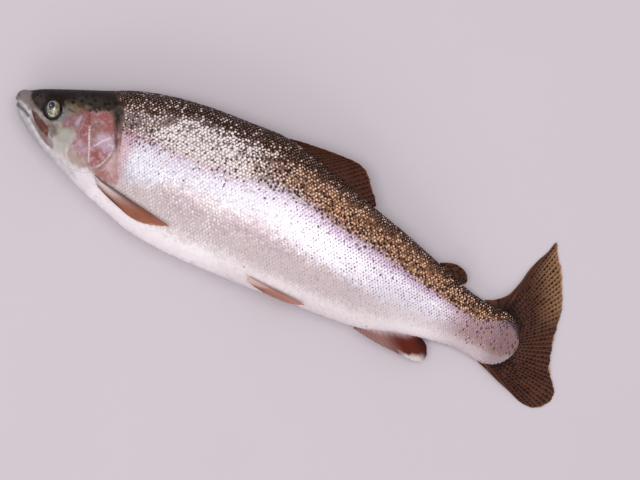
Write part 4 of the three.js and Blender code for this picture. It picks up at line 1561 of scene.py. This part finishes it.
@dataclass(frozen=True)
class Skin:
    """One unbroken skin over the head, trunk and tail stalk, in millimetres."""

    nodes: tuple[str, ...] = (
        "head", "lower_jaw", "upper_jaw_left", "upper_jaw_right", "gill_cover_left",
        "gill_cover_right", "trunk_front", "trunk_middle", "trunk_rear", "tail_stalk",
    )
    steps: tuple[Pair, ...] = (
        (-2, 0.12), (1, 0.4), (6, 0.5), (106, 0.55), (116, 2.4), (140, 4.4), (436, 4.4),
        (456, 2.0), (474, 0.9), (481, 0.2),
    )
    rows: int = 150
    inset: float = 0.5
    bare_inset: float = 0.35
    head_end: float = 112.0
    overlap: float = 1.2
    ring_edge: Pair = (0.2, 1.4)
    ring_strength: Pair = (0.7, 1.0)
    smooth_nape: float = 12.0

    @cached_property
    def sections(self) -> Array:
        """Where the skin's rings are, closer together on the head."""
        xs = [BODY.nose_tip + 0.02]
        while xs[-1] < BODY.length - 0.05:
            xs.append(xs[-1] + float(np.interp(xs[-1], *zip(*self.steps))))
        xs[-1] = BODY.length - 0.02
        return np.array(xs)

    def eye_ring(self, x: Array, y: Array) -> Array:
        """How dark the ring round the eye is: wide under the eye, and weak behind it."""
        east, north = x - Eye.x, y - Eye.y
        away = np.hypot(east, north)
        under = 0.5 - 0.5 * north / np.maximum(away, 1.0)
        edge = Eye.opening + lerp(*self.ring_edge, under)
        ring = ease(away - edge, 0.4, -0.6) * lerp(*self.ring_strength, under)
        behind = ease(east / np.maximum(away, 1.0), 0.7, 0.92) * ease(north, 2.5, 0)
        return ring * (1 - 0.8 * behind)

    def cover(self, x: Array, y: Array, covered: Array) -> Array:
        """What says where each finish of the skin shows.

        Args:
            x, y: places on the fish's side.
            covered: 1 where scales grow.

        Returns:
            Three numbers for each point: how scaled its colours are, how dark it is round the eye,
            and how far it belongs to the dark crown.
        """
        near = x < self.head_end
        ring, crown = np.zeros(x.shape), np.zeros(x.shape)
        ring[near] = self.eye_ring(x[near], y[near])
        crown[near] = HEAD.crown_share(x[near], y[near])
        soft = np.maximum(ease(y, 31, 36), ease(y, -38, -44))
        faded = HEAD.scaled(x - self.overlap, y, self.smooth_nape)
        return np.stack([lerp(covered, faded, soft), ring, crown], axis=-1)

    def flank_net(self, flank: Flank) -> tuple[Array, Array, Array, Array]:
        """One side of the skin, with its relief and what its corners carry.

        Args:
            flank: which side.

        Returns:
            Its points, their shares of the body, the head's paint, and its cover.
        """
        rows = self.rows
        xs = self.sections
        net, girth = BODY.sheet(xs, rows, flank)
        x, y = net[..., 0], net[..., 1]
        near = x < self.head_end
        height, paint = np.zeros(x.shape), np.zeros((*x.shape, 4))
        height[near] = HEAD.relief(x[near], y[near])
        paint[near] = HEAD.paint(x[near], y[near])
        covered = HEAD.scaled(x - self.overlap, y)
        sunk = self.inset * lerp(self.bare_inset, 1.0, covered)
        normal = grid_normals(net) * flank.value
        net = net + normal * (height - sunk)[..., None]
        net[..., 2] = BODY.rest(net[..., 2], self.inset)
        around = girth[:, None] * np.linspace(0, 1, rows + 1) * flank.value
        return net, body_shares(x, y, around), paint, self.cover(x, y, covered)

    def build(self) -> Piece:
        """Makes the skin as one net from the back, round both flanks, to the back again."""
        left = self.flank_net(Flank.LEFT)
        right = self.flank_net(Flank.RIGHT)
        whole = [np.concatenate([a, b[:, -2::-1]], axis=1) for a, b in zip(left, right)]
        net, body, paint, cover = whole
        net[:, net.shape[1] // 2] = (left[0][:, -1] + right[0][:, -1]) / 2
        net[:, 0] = net[:, -1] = (net[:, 0] + net[:, -1]) / 2
        for end in (0, -1):
            net[end] = net[end].mean(axis=0)
        piece = net_piece("skin", net)
        write_attribute(piece, "body", by_row(body))
        write_attribute(piece, "cover", by_row(cover))
        write_attribute(piece, "head", by_row(paint))
        close_seams(piece)
        return piece

    def dress(self, hide: TroutHide) -> None:
        """Makes the skin and dresses it."""
        finish_piece(self.build(), hide.skin(), Slot.HEAD, *self.nodes)


@dataclass(frozen=True)
class Shingle:
    """One scale: a thin domed plate with its root buried and its rear edge free."""

    length: float = 1.0
    width: float = 0.66
    taper: float = 0.16
    dome: float = 0.05
    rim: float = 0.36
    sides: int = 8

    def model(self) -> tuple[Array, Array]:
        """Models the scale by hand, in units of one row's pitch.

        Returns:
            Its corners, and its faces as triangles.
        """
        clear_selection()
        bpy.ops.mesh.primitive_circle_add(vertices=self.sides, radius=1.0, fill_type="NGON")
        piece = own_primitive("shingle")
        bpy.ops.object.mode_set(mode="EDIT")
        bpy.ops.mesh.select_all(action="SELECT")
        bpy.ops.mesh.duplicate()
        bpy.ops.mesh.flip_normals()
        bpy.ops.mesh.select_all(action="INVERT")
        bpy.ops.mesh.inset(thickness=self.rim)
        bpy.ops.mesh.poke()
        bpy.ops.mesh.select_all(action="SELECT")
        bpy.ops.mesh.remove_doubles(threshold=0.001)
        bpy.ops.mesh.quads_convert_to_tris()
        bpy.ops.object.mode_set(mode="OBJECT")
        points = corners(piece)
        points[:, 2] += self.dome * (1 - np.hypot(points[:, 0], points[:, 1]) ** 2)
        points[:, 0] *= self.length
        points[:, 1] *= self.width * (1 - self.taper * points[:, 0])
        faces = np.array([tuple(face.vertices) for face in piece.data.polygons])
        bpy.data.objects.remove(piece)
        return points, faces


def triangle_piece(name: str, points: Array, faces: Array) -> Piece:
    """A mesh of triangles.

    Args:
        name: the new object's name.
        points: its corners, in millimetres on the fish.
        faces: three numbers of corners for each triangle.

    Returns:
        The object.
    """
    mesh = bpy.data.meshes.new(name)
    mesh.vertices.add(len(points))
    mesh.loops.add(faces.size)
    mesh.polygons.add(len(faces))
    mesh.polygons.foreach_set("loop_start", np.arange(0, faces.size, 3))
    mesh.loops.foreach_set("vertex_index", faces.ravel())
    mesh.update(calc_edges=True)
    piece = add_object(name, mesh)
    move_corners(piece, PLACE(points))
    return piece


@dataclass
class Scales:
    """The coat of scales on one flank, in rows, in millimetres."""

    flank: Flank
    pitch: Profile = Profile(((80, 2.5), (130, 2.9), (300, 2.9), (400, 2.6), (481, 2.1)))
    row: Profile = Profile(((80, 2.15), (130, 2.5), (300, 2.5), (400, 2.2), (481, 1.8)))
    first: float = 70.0
    last: float = 475.0
    half_rows: int = 60
    stray: Pair = (0.1, 0.08)
    plate: tuple[float, float, float] = (0.98, 1.12, 0.62)
    buried: float = 0.7
    sunk: float = 0.06
    tilt: Pair = (5.0, 1.6)
    roll: float = 2.4
    small: Pair = (0.4, 452.0)
    lift: float = 0.52
    pressed: float = 0.25
    floor: Pair = (0.04, 0.02)
    creases: float = 70.0
    columns: int = 1100
    steps: int = 240
    patch: float = 0.003
    seeds: tuple[int, int] = (11, 12)
    quick_share: float = 0.25
    spans: tuple[tuple[str, float, float], ...] = (("front", 60, 215), ("rear", 215, 480))

    def __post_init__(self) -> None:
        """Measures the flank that the scales lie on."""
        self.rng = np.random.default_rng(self.seeds[0 if self.flank is Flank.LEFT else 1])
        self.xs = np.linspace(66, BODY.length - 0.5, self.columns)
        self.net, self.girth = BODY.sheet(self.xs, self.steps, self.flank, -Skin.inset)
        self.normal = grid_normals(self.net) * self.flank.value

    def sample(self, net: Array, x: Array, share: Array) -> Array:
        """Values of a net between its points.

        Args:
            net: values at the flank's measured points.
            x: distances from the snout.
            share: shares of the way down the flank.

        Returns:
            The values at those places.
        """
        i = np.clip(np.interp(x, self.xs, np.arange(len(self.xs))), 0, len(self.xs) - 1.001)
        k = np.clip(share * self.steps, 0, self.steps - 0.001)
        i0, k0 = i.astype(int), k.astype(int)
        ti, tk = (i - i0)[..., None], (k - k0)[..., None]
        low = lerp(net[i0, k0], net[i0, k0 + 1], tk)
        high = lerp(net[i0 + 1, k0], net[i0 + 1, k0 + 1], tk)
        return lerp(low, high, ti)

    def girth_at(self, x: Array) -> Array:
        """The flank's length from the back to the belly."""
        return np.interp(x, self.xs, self.girth)

    def roots(self) -> tuple[Array, Array]:
        """Where the scales grow.

        Returns:
            Their x, and their share of the way down the flank.
        """
        columns = [self.first]
        while columns[-1] < self.last:
            columns.append(columns[-1] + float(self.pitch(columns[-1])))
        rows = np.arange(-self.half_rows, self.half_rows + 1)
        x, row = np.meshgrid(np.array(columns), rows, indexing="ij")
        x = x + np.where(row % 2 == 0, 0.0, 0.5) * self.pitch(x)
        girth = self.girth_at(x)
        share = BODY.lateral(x) + row * self.row(x) / girth
        x = x + self.rng.normal(0, self.stray[0], x.shape)
        share = share + self.rng.normal(0, self.stray[1], x.shape) / girth
        inside = (share > 0.002) & (share < 0.998) & (x < self.last)
        x, share = x[inside], share[inside]
        y = self.sample(self.net, x, share)[..., 1]
        grown = HEAD.scaled(x - 0.5, y) > 0.5
        return x[grown], share[grown]

    def frames(self, x: Array, share: Array) -> tuple[Array, ...]:
        """How each scale lies.

        Args:
            x, share: the roots.

        Returns:
            Each scale's root, its way to the tail, its way across, and its way out.
        """
        root = self.sample(self.net, x, share)
        out = self.sample(self.normal, x, share)
        out /= np.linalg.norm(out, axis=1, keepdims=True)
        rows = (share - BODY.lateral(x)) * self.girth_at(x) / self.row(x)
        # A row keeps its number on the next millimetre, and that gives its way.
        ahead = BODY.lateral(x + 1.0) + rows * self.row(x + 1.0) / self.girth_at(x + 1.0)
        tail = self.sample(self.net, x + 1.0, np.clip(ahead, 0, 1)) - root
        tail -= out * np.sum(tail * out, axis=1, keepdims=True)
        tail /= np.maximum(np.linalg.norm(tail, axis=1, keepdims=True), 1e-9)
        return root, tail, np.cross(out, tail), out

    def lay(self, x: Array, share: Array, shape: Array) -> tuple[Array, Array]:
        """Lays the plates on the flank.

        Args:
            x, share: the roots.
            shape: one scale's corners.

        Returns:
            The corners of each scale, and how far each is across its scale.
        """
        root, tail, across, out = self.frames(x, share)
        pitch, row = self.pitch(x)[:, None], self.row(x)[:, None]
        least, shrinks = self.small
        small = (ease(x, self.last + 4, shrinks) * (1 - least) + least)[:, None]
        degrees, strays = self.tilt
        tilt = np.radians(degrees + self.rng.normal(0, strays, len(x)))[:, None]
        roll = np.radians(self.rng.normal(0, self.roll, len(x)))[:, None]
        size = (pitch * small, row * small, row * small)
        a, b, h = (shape[None, :, k] * self.plate[k] * size[k] for k in range(3))
        h = h + (a + self.buried * pitch) * np.sin(tilt) + b * np.sin(roll) - self.sunk
        # The plate wraps round the flank under it.
        bend = np.interp(x, self.xs, 0.5 / np.maximum(BODY.half(self.xs) * 1.25, 4))
        h = h - b**2 * bend[:, None]
        h = np.where(h > self.lift, self.lift + (h - self.lift) * self.pressed, h)
        points = root[:, None] + tail[:, None] * a[..., None]
        points = points + across[:, None] * b[..., None] + out[:, None] * h[..., None]
        lowest = self.floor[0] + self.floor[1] * (h < 0)
        points[..., 2] = np.maximum(points[..., 2], lowest)
        return points, b

    def build(self, name: str, low: float, high: float, keep: float = 1.0) -> Piece:
        """Joins the scales between two distances from the snout into one mesh.

        Args:
            name: the piece's name.
            low: where it starts.
            high: where it ends.
            keep: share of the scales to make.

        Returns:
            The object.
        """
        shape, faces = Shingle().model()
        x, share = self.roots()
        chosen = (x >= low) & (x < high)
        chosen &= self.rng.random(len(x)) < keep
        x, share = x[chosen], share[chosen]
        points, across = self.lay(x, share, shape)
        count = len(x)
        index = (faces[None] + (np.arange(count) * len(shape))[:, None, None]).reshape(-1, 3)
        piece = triangle_piece(name, points.reshape(-1, 3), index)
        # Across points to the back on the left flank and to the belly on the right one.
        around = (share * self.girth_at(x))[:, None] * self.flank.value - across
        flat_x, flat_y = points[..., 0].ravel(), points[..., 1].ravel()
        write_attribute(piece, "body", body_shares(flat_x, flat_y, around.ravel()))
        chance = np.repeat(self.rng.random(count), len(shape))
        own = (np.tile(shape[:, 0], count), np.tile(shape[:, 1], count), chance)
        write_attribute(piece, "scale", np.stack(own, axis=-1))
        self.unwrap(piece, index, shape, x, share)
        select_only(piece)
        bpy.ops.object.shade_smooth_by_angle(angle=math.radians(self.creases))
        return piece

    def unwrap(self, piece: Piece, faces: Array, shape: Array, x: Array, share: Array) -> None:
        """Gives each scale a small patch of the map, at its root's place on the skin's own map.

        Args:
            piece: the scales.
            faces: their triangles.
            shape: one scale's corners.
            x, share: the roots.
        """
        start = 0.02 if self.flank is Flank.LEFT else 0.51
        u0 = lerp(0.02, 0.98, x / BODY.length)
        v0 = start + 0.47 * share
        u = u0[:, None] + shape[None, :, 0] * self.patch * 0.5
        v = v0[:, None] + shape[None, :, 1] * self.patch * 0.5
        corner = np.stack([u.ravel(), v.ravel()], axis=-1)[faces.ravel()]
        layer = piece.data.uv_layers.new(name="OFBake")
        layer.data.foreach_set("uv", corner.astype(np.float32).ravel())

    def dress(self, coat: Finish) -> None:
        """Makes the flank's pieces and dresses them."""
        keep = 1.0
        side = self.flank.name.lower()
        for name, low, high in self.spans:
            piece = self.build(f"scales_{side}_{name}", low, high, keep)
            finish_piece(piece, coat, Slot.SCALED)


@dataclass(frozen=True)
class Eye:
    """An eyeball that bulges a little from its socket, in millimetres."""

    flank: Flank
    x: float = 33.1
    y: float = 1.8
    opening: float = 7.6
    radii: tuple[float, float, float] = (7.9, 8.2, 5.8)
    showing: float = 2.3
    pupil: Pair = (-3.1, 2.6)
    lens: float = 0.55
    lens_spread: float = 12.0

    @property
    def centre(self) -> Array:
        """The ball's middle."""
        surface = BODY.point(self.x, BODY.angle_of(self.x, self.y, self.flank))[2]
        sunk = (self.radii[2] - self.showing) * self.flank.value
        return np.array([self.x, self.y, surface - sunk])

    def build(self) -> Piece:
        """Makes the ball, flattened in front, with a raised lens over its pupil."""
        clear_selection()
        bpy.ops.mesh.primitive_uv_sphere_add(segments=96, ring_count=64, radius=1.0)
        ball = own_primitive(f"eye_{self.flank.name.lower()}_ball")
        unit = corners(ball)
        local = unit * np.array(self.radii)
        east, north = local[:, 0], local[:, 1]
        front = unit[:, 2] * self.flank.value > 0
        away = (east - self.pupil[0]) ** 2 + (north - self.pupil[1]) ** 2 * 0.7
        bulge = self.lens * np.exp(-away / self.lens_spread)
        local[:, 2] += np.where(front, bulge * self.flank.value, 0)
        move_corners(ball, PLACE(local + self.centre))
        # The back carries places off the iris, so that it takes the rim's colour.
        painted = np.where(front, 1.0, 3.0)
        write_attribute(ball, "eye", np.stack([east * painted, north * painted, unit[:, 2]], -1))
        bpy.ops.object.shade_smooth()
        return ball

    def dress(self, glaze: Finish) -> None:
        """Makes the eyeball and dresses it."""
        finish_piece(self.build(), glaze, Slot.EYE, f"eye_{self.flank.name.lower()}")


# ---------------- the fins


def shares(net: Array) -> tuple[Array, Array]:
    """A fin net's shares across the fin, as a column, and out along the rays, as a row."""
    return np.linspace(0, 1, net.shape[0])[:, None], np.linspace(0, 1, net.shape[1])[None]


@dataclass(frozen=True)
class MiddlePlace:
    """Where a fin of the middle plane lies, which droops over some length to a rest height."""

    over: float
    rest: float
    wave: float = 0.0

    def __call__(self, flat: Array) -> Array:
        """Turns flat points into places.

        Args:
            flat: (x, y) points of shape (rays, steps, 2) on the fish's side.

        Returns:
            Points of x, y and z.
        """
        u, v = shares(flat)
        length = np.linalg.norm(flat - flat[:, :1], axis=2)
        z = lerp(BODY.middle(flat[:, :1, 0]), self.rest, ease(length, 0, self.over))
        folds = np.sin(u * 17.0) * 0.6 + np.sin(u * 41.0 + 1.0) * 0.25
        z = z + self.wave * folds * ease(v, 0.15, 0.8)
        return np.concatenate([flat, np.maximum(z, self.rest * 0.9)[..., None]], axis=2)


@dataclass(frozen=True)
class PairedPlace:
    """Where a fin folded against a flank lies, a little off the flank."""

    flank: Flank
    lift: float = 2.0
    root_lift: float = 1.2
    crimp: float = 0.25
    floor: float = 0.55

    def __call__(self, flat: Array) -> Array:
        """Turns flat points into places.

        Args:
            flat: (x, y) points of shape (rays, steps, 2) on the fish's side.

        Returns:
            Points of x, y and z.
        """
        u, v = shares(flat)
        x, y = flat[..., 0], flat[..., 1]
        rooted = (self.root_lift + 1.0) * ease(v, 0.12, 0.0)
        out = lerp(self.root_lift, self.lift, v**1.5) - rooted
        out = out + self.crimp * np.sin(u * 9.0) * ease(v, 0.1, 0.8)
        points = BODY.point(x, BODY.angle_of(x, y, self.flank), out)
        if self.flank is Flank.RIGHT:
            points[..., 2] = np.maximum(points[..., 2], self.floor)
        return points


@dataclass(frozen=True)
class EdgeRoots:
    """Ray roots along the back or the belly, sunk a little and bunched at the front."""

    line: Profile
    start: float
    end: float
    sunk: float
    bunching: float = 1.0

    def __call__(self, u: Array) -> Array:
        """The roots at shares from 0 to 1."""
        x = lerp(self.start, self.end, u**self.bunching)
        return np.stack([x, self.line(x) + self.sunk], axis=-1)


@dataclass(frozen=True)
class StraightRoots:
    """Ray roots along a straight line."""

    first: Pair
    last: Pair

    def __call__(self, u: Array) -> Array:
        """The roots at shares from 0 to 1."""
        return lerp(np.array(self.first, float), np.array(self.last, float), u[:, None])


@dataclass(frozen=True)
class ArcRoots:
    """Ray roots on an arc inside the end of the tail stalk."""

    middle: Pair = (456.0, -25.5)
    radii: Pair = (15.0, 20.0)
    half_angle: float = 1.75

    def __call__(self, u: Array) -> Array:
        """The roots at shares from 0 to 1."""
        angle = lerp(self.half_angle, -self.half_angle, u)[:, None]
        around = np.concatenate([np.cos(angle), np.sin(angle)], axis=1)
        return np.array(self.middle) + np.array(self.radii) * around


@dataclass(frozen=True)
class Fin:
    """A fin as a thin closed sheet of rays.

    Attributes:
        name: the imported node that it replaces.
        roots: (x, y) of ray bases at shares from 0 to 1.
        margin: the outline from its first ray's tip to its last ray's.
        place: turns flat points into places.
        thick: thickness at the root and at the margin.
        size: columns and rows of its net.
        spacing: how shares across the fin turn into shares of the margin.
    """

    name: str
    roots: Callable[[Array], Array]
    margin: Line
    place: Callable[[Array], Array]
    thick: Pair
    rays: int
    ragged: float
    size: tuple[int, int]
    seed: int = 1
    spacing: Callable[[Array], Array] = field(default=lambda share: share)
    creases: float = 40.0

    def tips(self, u: Array, root: Array) -> Array:
        """The rays' ends on the margin, with ragged notches between them.

        Args:
            u: shares across the fin.
            root: the roots there.

        Returns:
            (x, y) of each end.
        """
        rng = np.random.default_rng(self.seed)
        coarse, fine = self.waves(u)
        knots = np.arange(self.rays + 2)
        torn = np.interp(u * self.rays, knots, rng.normal(0, 0.5, len(knots)))
        inner = ease(u, 0, 0.06) * ease(u, 1, 0.94)
        depth = 0.55 * (1 - coarse) + 0.35 * (1 - fine) + 0.25 * np.abs(torn)
        notch = self.ragged * inner * depth
        tip = self.margin.at(self.spacing(u))
        reach = np.linalg.norm(tip - root, axis=1)
        return tip - (tip - root) / np.maximum(reach, 1e-6)[:, None] * notch[:, None]

    def waves(self, u: Array) -> tuple[Array, Array]:
        """Waves across the fin, 1 on each ray, and 1 on each of a ray's three branches."""
        turn = u * self.rays * FULL_TURN
        return 0.5 + 0.5 * np.cos(turn), 0.5 + 0.5 * np.cos(turn * 3)

    def thickness(self, net: Array) -> Array:
        """How thick the fin is at a net's points, thicker on its rays and their branches.

        Args:
            net: the points.

        Returns:
            One thickness for each point.
        """
        u, v = shares(net)
        coarse, fine = self.waves(u)
        branch = ease(v, 0.25, 0.7)
        ray = coarse * (1 - branch) + fine * branch
        fade = 0.4 + 0.6 * ease(v, 1.0, 0.9)
        return lerp(*self.thick, v**0.8) * (0.72 + 0.28 * ray * fade)

    def net(self) -> tuple[Array, Array, Array]:
        """The fin's middle surface.

        Returns:
            Its points, how thick it is there, and what its corners carry: the share across the fin,
            the centimetres and the share out along the ray, and the fin's breadth in centimetres.
        """
        columns, rows = (count for count in self.size)
        u, v = np.linspace(0, 1, columns), np.linspace(0, 1, rows)
        root = self.roots(u)
        flat = root[:, None] + (self.tips(u, root) - root)[:, None] * v[None, :, None]
        points = self.place(flat)
        out = np.linalg.norm(flat - root[:, None], axis=2) / 10
        spread = np.linalg.norm(np.gradient(points, u, axis=0), axis=2) / 10
        across, along = np.repeat(u[:, None], rows, 1), np.repeat(v[None], columns, 0)
        return points, self.thickness(points), np.stack([across, out, along, spread], axis=-1)

    def build(self) -> Piece:
        """Makes the sheet, thickened on both faces by a Solidify modifier."""
        points, thick, carried = self.net()
        piece = net_piece(self.name + "_web", points)
        write_attribute(piece, "ray", by_row(carried))
        most = float(thick.max())
        group = piece.vertex_groups.new(name="thickness")
        for index, weight in enumerate((thick.T.ravel() / most).tolist()):
            group.add([index], weight, "REPLACE")
        select_only(piece)
        solid = piece.modifiers.new("web", "SOLIDIFY")
        solid.thickness = most * MM
        solid.offset = 0.0
        solid.vertex_group = group.name
        bpy.ops.object.modifier_apply(modifier=solid.name)
        piece.vertex_groups.clear()
        bpy.ops.object.shade_smooth_by_angle(angle=math.radians(self.creases))
        return piece


@dataclass(frozen=True)
class Fins:
    """All eight fins: their outlines and their finishes, in millimetres."""

    tail: Line = Line(
        ((437.5, 0.6), (447, 5.4), (455.4, 14), (460.3, 27), (463, 40), (466.4, 50), (471.6, 61),
         (475.2, 71.5), (481, 61.5), (489.5, 50), (499, 30), (503.6, 17), (505, 5), (508, -12),
         (512, -27), (518, -38), (524.6, -46.4), (526, -54.5), (521.6, -63.4), (513, -68.4),
         (502, -68), (490, -63.6), (478, -59.6), (465, -54.6), (453, -50.4)),
        steps=240,
    )
    dorsal: Line = Line(
        ((229, 60.8), (240, 62.5), (257, 64.1), (274, 65.1), (289, 65.3), (297, 63.4),
         (302.6, 59.4), (307, 54.6), (310.6, 49.6), (315, 45), (317.8, 41), (319.6, 37.4))
    )
    adipose: Line = Line(
        ((390, 15), (396, 17.6), (402.6, 19), (409.4, 18), (414.6, 14.8), (417.4, 10),
         (416.4, 6.4), (412.4, 5.4))
    )
    anal: Line = Line(
        ((343.6, -67), (353, -68.8), (366, -70.4), (381, -71.5), (395, -71.8), (404, -71.6),
         (410.2, -68.6), (411, -63.6), (409.2, -58), (406.2, -54.2), (402, -52.6))
    )
    pectoral: tuple[Pair, ...] = (
        (165, -48), (156, -51.4), (147, -53.8), (138, -55), (128, -53.8), (117, -50.2),
        (106, -46.2), (97, -42.4),
    )
    pelvic: Line = Line(((297, -63), (289, -66), (276, -67.8), (262, -67.4), (251, -65.6)))
    lobes: tuple[Pair, Pair] = ((475.2, 71.5), (505.0, -68.3))
    lobe_rays: Pair = (0.08, 0.94)
    right_push: float = -4.5

    dark: FinWeb = FinWeb(
        "dark fin", rgb(40, 20, 13), rgb(62, 28, 16), rgb(96, 54, 34), rgb(124, 82, 54), 13,
        tip_from=0.93, spots=0.9, lead=0.6,
    )
    tail_web: FinWeb = FinWeb(
        "tail fin", rgb(26, 12, 8), rgb(66, 36, 27), rgb(104, 66, 48), rgb(180, 140, 98), 21,
        tip_from=0.985, root_to=0.34, spots=0.95, lead=0.85, glow=0.7,
    )
    fatty: FinWeb = FinWeb(
        "adipose fin", rgb(34, 18, 12), rgb(82, 45, 27), rgb(66, 34, 21), rgb(110, 68, 44), 2,
        tip_from=0.9, spots=0.97, scatter=330.0,
    )
    ruddy: FinWeb = FinWeb(
        "ruddy fin", rgb(236, 220, 216), rgb(182, 118, 94), rgb(116, 64, 48), rgb(196, 140, 112),
        12, tip_from=0.95, root_to=0.75, lead=0.8, lead_to=0.2, spot=rgb(64, 32, 24),
    )
    anal_web: FinWeb = FinWeb(
        "anal fin", rgb(208, 188, 194), rgb(160, 120, 114), rgb(134, 96, 88), rgb(176, 150, 144),
        12, tip_from=0.97, root_to=0.5, lead=0.75, rear=rgb(96, 38, 25), flag=rgb(228, 218, 214),
    )
    pelvic_web: FinWeb = FinWeb(
        "pelvic fin", rgb(236, 216, 208), rgb(204, 150, 136), rgb(166, 108, 94),
        rgb(196, 140, 124), 10, tip_from=0.95, root_to=0.6, lead=0.3,
    )

    def tail_spacing(self, u: Array) -> Array:
        """Most rays end between the lobes' tips, and a few on the outer edges."""
        tips = np.array(self.lobes)
        _, share = self.tail.measure(tips[:, 0], tips[:, 1])
        return np.interp(u, (0, *self.lobe_rays, 1), (0, *share, 1))

    def middle_fins(self) -> Iterator[tuple[Fin, FinWeb, Slot]]:
        """The four fins of the middle plane, each with its finish and slot."""
        tail = Fin(
            "tail_fin", ArcRoots(), self.tail, MiddlePlace(62, 0.95), (3.4, 0.7), 21, 1.1,
            (504, 70), seed=3, spacing=self.tail_spacing,
        )
        yield tail, self.tail_web, Slot.DARK_FIN
        dorsal = Fin(
            "dorsal_fin", EdgeRoots(BODY.back, 226, 316, -4, 1.5), self.dorsal,
            MiddlePlace(90, 15, 0.35), (2.2, 0.7), 13, 0.8, (208, 50), seed=4,
        )
        yield dorsal, self.dark, Slot.DARK_FIN
        adipose = Fin(
            "adipose_fin", EdgeRoots(BODY.back, 389, 408, -3), self.adipose, MiddlePlace(60, 8),
            (2.8, 1.2), 3, 0.1, (60, 30),
        )
        yield adipose, self.fatty, Slot.DARK_FIN
        anal = Fin(
            "anal_fin", EdgeRoots(BODY.belly, 343, 396, 4, 1.2), self.anal,
            MiddlePlace(80, 5, 0.3), (2.2, 0.7), 12, 0.6, (180, 44), seed=5,
        )
        yield anal, self.anal_web, Slot.RED_FIN

    def paired_fins(self, flank: Flank) -> Iterator[tuple[Fin, FinWeb, Slot]]:
        """The pectoral and pelvic fins of a flank, each with its finish and slot."""
        side = flank.name.lower()
        push, lift = (0.0, 2.0) if flank is Flank.LEFT else (self.right_push, 1.2)
        pectoral = Fin(
            f"pectoral_fin_{side}", StraightRoots((88.5, -35 + push), (92, -40.5 + push)),
            Line(tuple((x, y + push) for x, y in self.pectoral)), PairedPlace(flank, lift),
            (1.6, 0.6), 13, 0.9, (156, 60), seed=6,
        )
        yield pectoral, self.ruddy, Slot.RED_FIN
        pelvic = Fin(
            f"pelvic_fin_{side}", StraightRoots((240.5, -60.6), (244, -64.6)), self.pelvic,
            PairedPlace(flank), (1.6, 0.6), 10, 0.8, (120, 50), seed=7,
        )
        yield pelvic, self.pelvic_web, Slot.RED_FIN

    def dress(self) -> None:
        """Makes the fins and dresses them; fins alike share a material."""
        made: dict[str, Finish] = {}
        paired = (made_fin for flank in Flank for made_fin in self.paired_fins(flank))
        for fin, web, slot in (*self.middle_fins(), *paired):
            finish = made.get(web.name) or made.setdefault(web.name, web.make())
            finish_piece(fin.build(), finish, slot, fin.name)


# ---------------- the studio


@dataclass(frozen=True)
class Lamp:
    """A soft lamp that faces the fish, in metres."""

    name: str
    spot: tuple[float, float, float]
    size: Pair
    power: float
    colour: Colour
    aim: tuple[float, float, float] = (0.0, 0.0, 0.03)

    def hang(self) -> None:
        """Makes the lamp."""
        lamp = bpy.data.lights.new(self.name, "AREA")
        lamp.shape = "RECTANGLE"
        lamp.size, lamp.size_y = self.size
        lamp.energy = self.power
        lamp.color = self.colour
        thing = add_object(self.name, lamp)
        thing.location = self.spot
        away = Vector(self.spot) - Vector(self.aim)
        thing.rotation_euler = away.to_track_quat("Z", "Y").to_euler()


@dataclass(frozen=True)
class Studio:
    """Floor, lamps and camera."""

    floor: Colour = rgb(206, 198, 204)
    shade: float = 0.9
    room: Colour = rgb(214, 208, 216)
    room_strength: float = 0.8
    lamps: tuple[Lamp, ...] = (
        Lamp("key", (-0.1, 0.1, 4.4), (4.0, 1.5), 78.0, (1.0, 0.985, 0.97)),
        Lamp("fill", (-0.3, -3.2, 2.0), (2.6, 1.6), 26.0, (1.0, 0.99, 0.985)),
    )
    aim: tuple[float, float, float] = (287.0, -8.7, 25.0)
    distance: float = 4.0
    roll: float = math.radians(23.6)
    width: float = 0.5498
    sensor: float = 36.0

    def build(self) -> None:
        """Lays the floor, hangs the lamps and sets up the camera."""
        self.lay_floor()
        for lamp in self.lamps:
            lamp.hang()
        self.light_world()
        self.aim_camera()

    def lay_floor(self) -> None:
        """A wide pale floor just under the fish."""
        clear_selection()
        bpy.ops.mesh.primitive_plane_add(size=12.0)
        floor = own_primitive("floor")
        s = Shading("studio floor")
        cloud = s.noise(s.place(), 9.0, 3.0)
        darker = tuple(part * self.shade for part in self.floor)
        colour = s.mix(cloud * 0.35, self.floor, darker)
        floor.data.materials.append(s.done(Base_Color=colour, Roughness=0.42))

    def light_world(self) -> None:
        """A pale room all round."""
        world = bpy.data.worlds.new("room")
        world.use_nodes = True
        background = world.node_tree.nodes["Background"]
        background.inputs["Color"].default_value = (*self.room, 1.0)
        background.inputs["Strength"].default_value = self.room_strength
        bpy.context.scene.world = world

    def aim_camera(self) -> None:
        """A long lens straight above the fish."""
        lens = bpy.data.cameras.new("camera")
        lens.sensor_width = self.sensor
        lens.lens = self.sensor * self.distance / self.width
        lens.clip_end = 20.0
        camera = add_object("camera", lens)
        x, y, z = PLACE(self.aim)
        up = Vector((-math.sin(self.roll), math.cos(self.roll), 0))
        back = Vector((0, 0, 1))
        turn = Matrix((up.cross(back), up, back)).transposed()
        camera.matrix_world = Matrix.Translation((x, y, z + self.distance)) @ turn.to_4x4()
        bpy.context.scene.camera = camera


def main() -> None:
    """Builds the scene."""
    logging.basicConfig(level=logging.INFO, format="%(name)s %(message)s")
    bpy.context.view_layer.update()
    hide = TroutHide()
    Skin().dress(hide)
    coat = hide.scales()
    for flank in Flank:
        Scales(flank).dress(coat)
    glaze = EyeGlaze().make()
    for flank in Flank:
        Eye(flank).dress(glaze)
    Fins().dress()
    Studio().build()
    bpy.context.scene.view_settings.view_transform = "Standard"


if __name__ == "__main__":
    main()
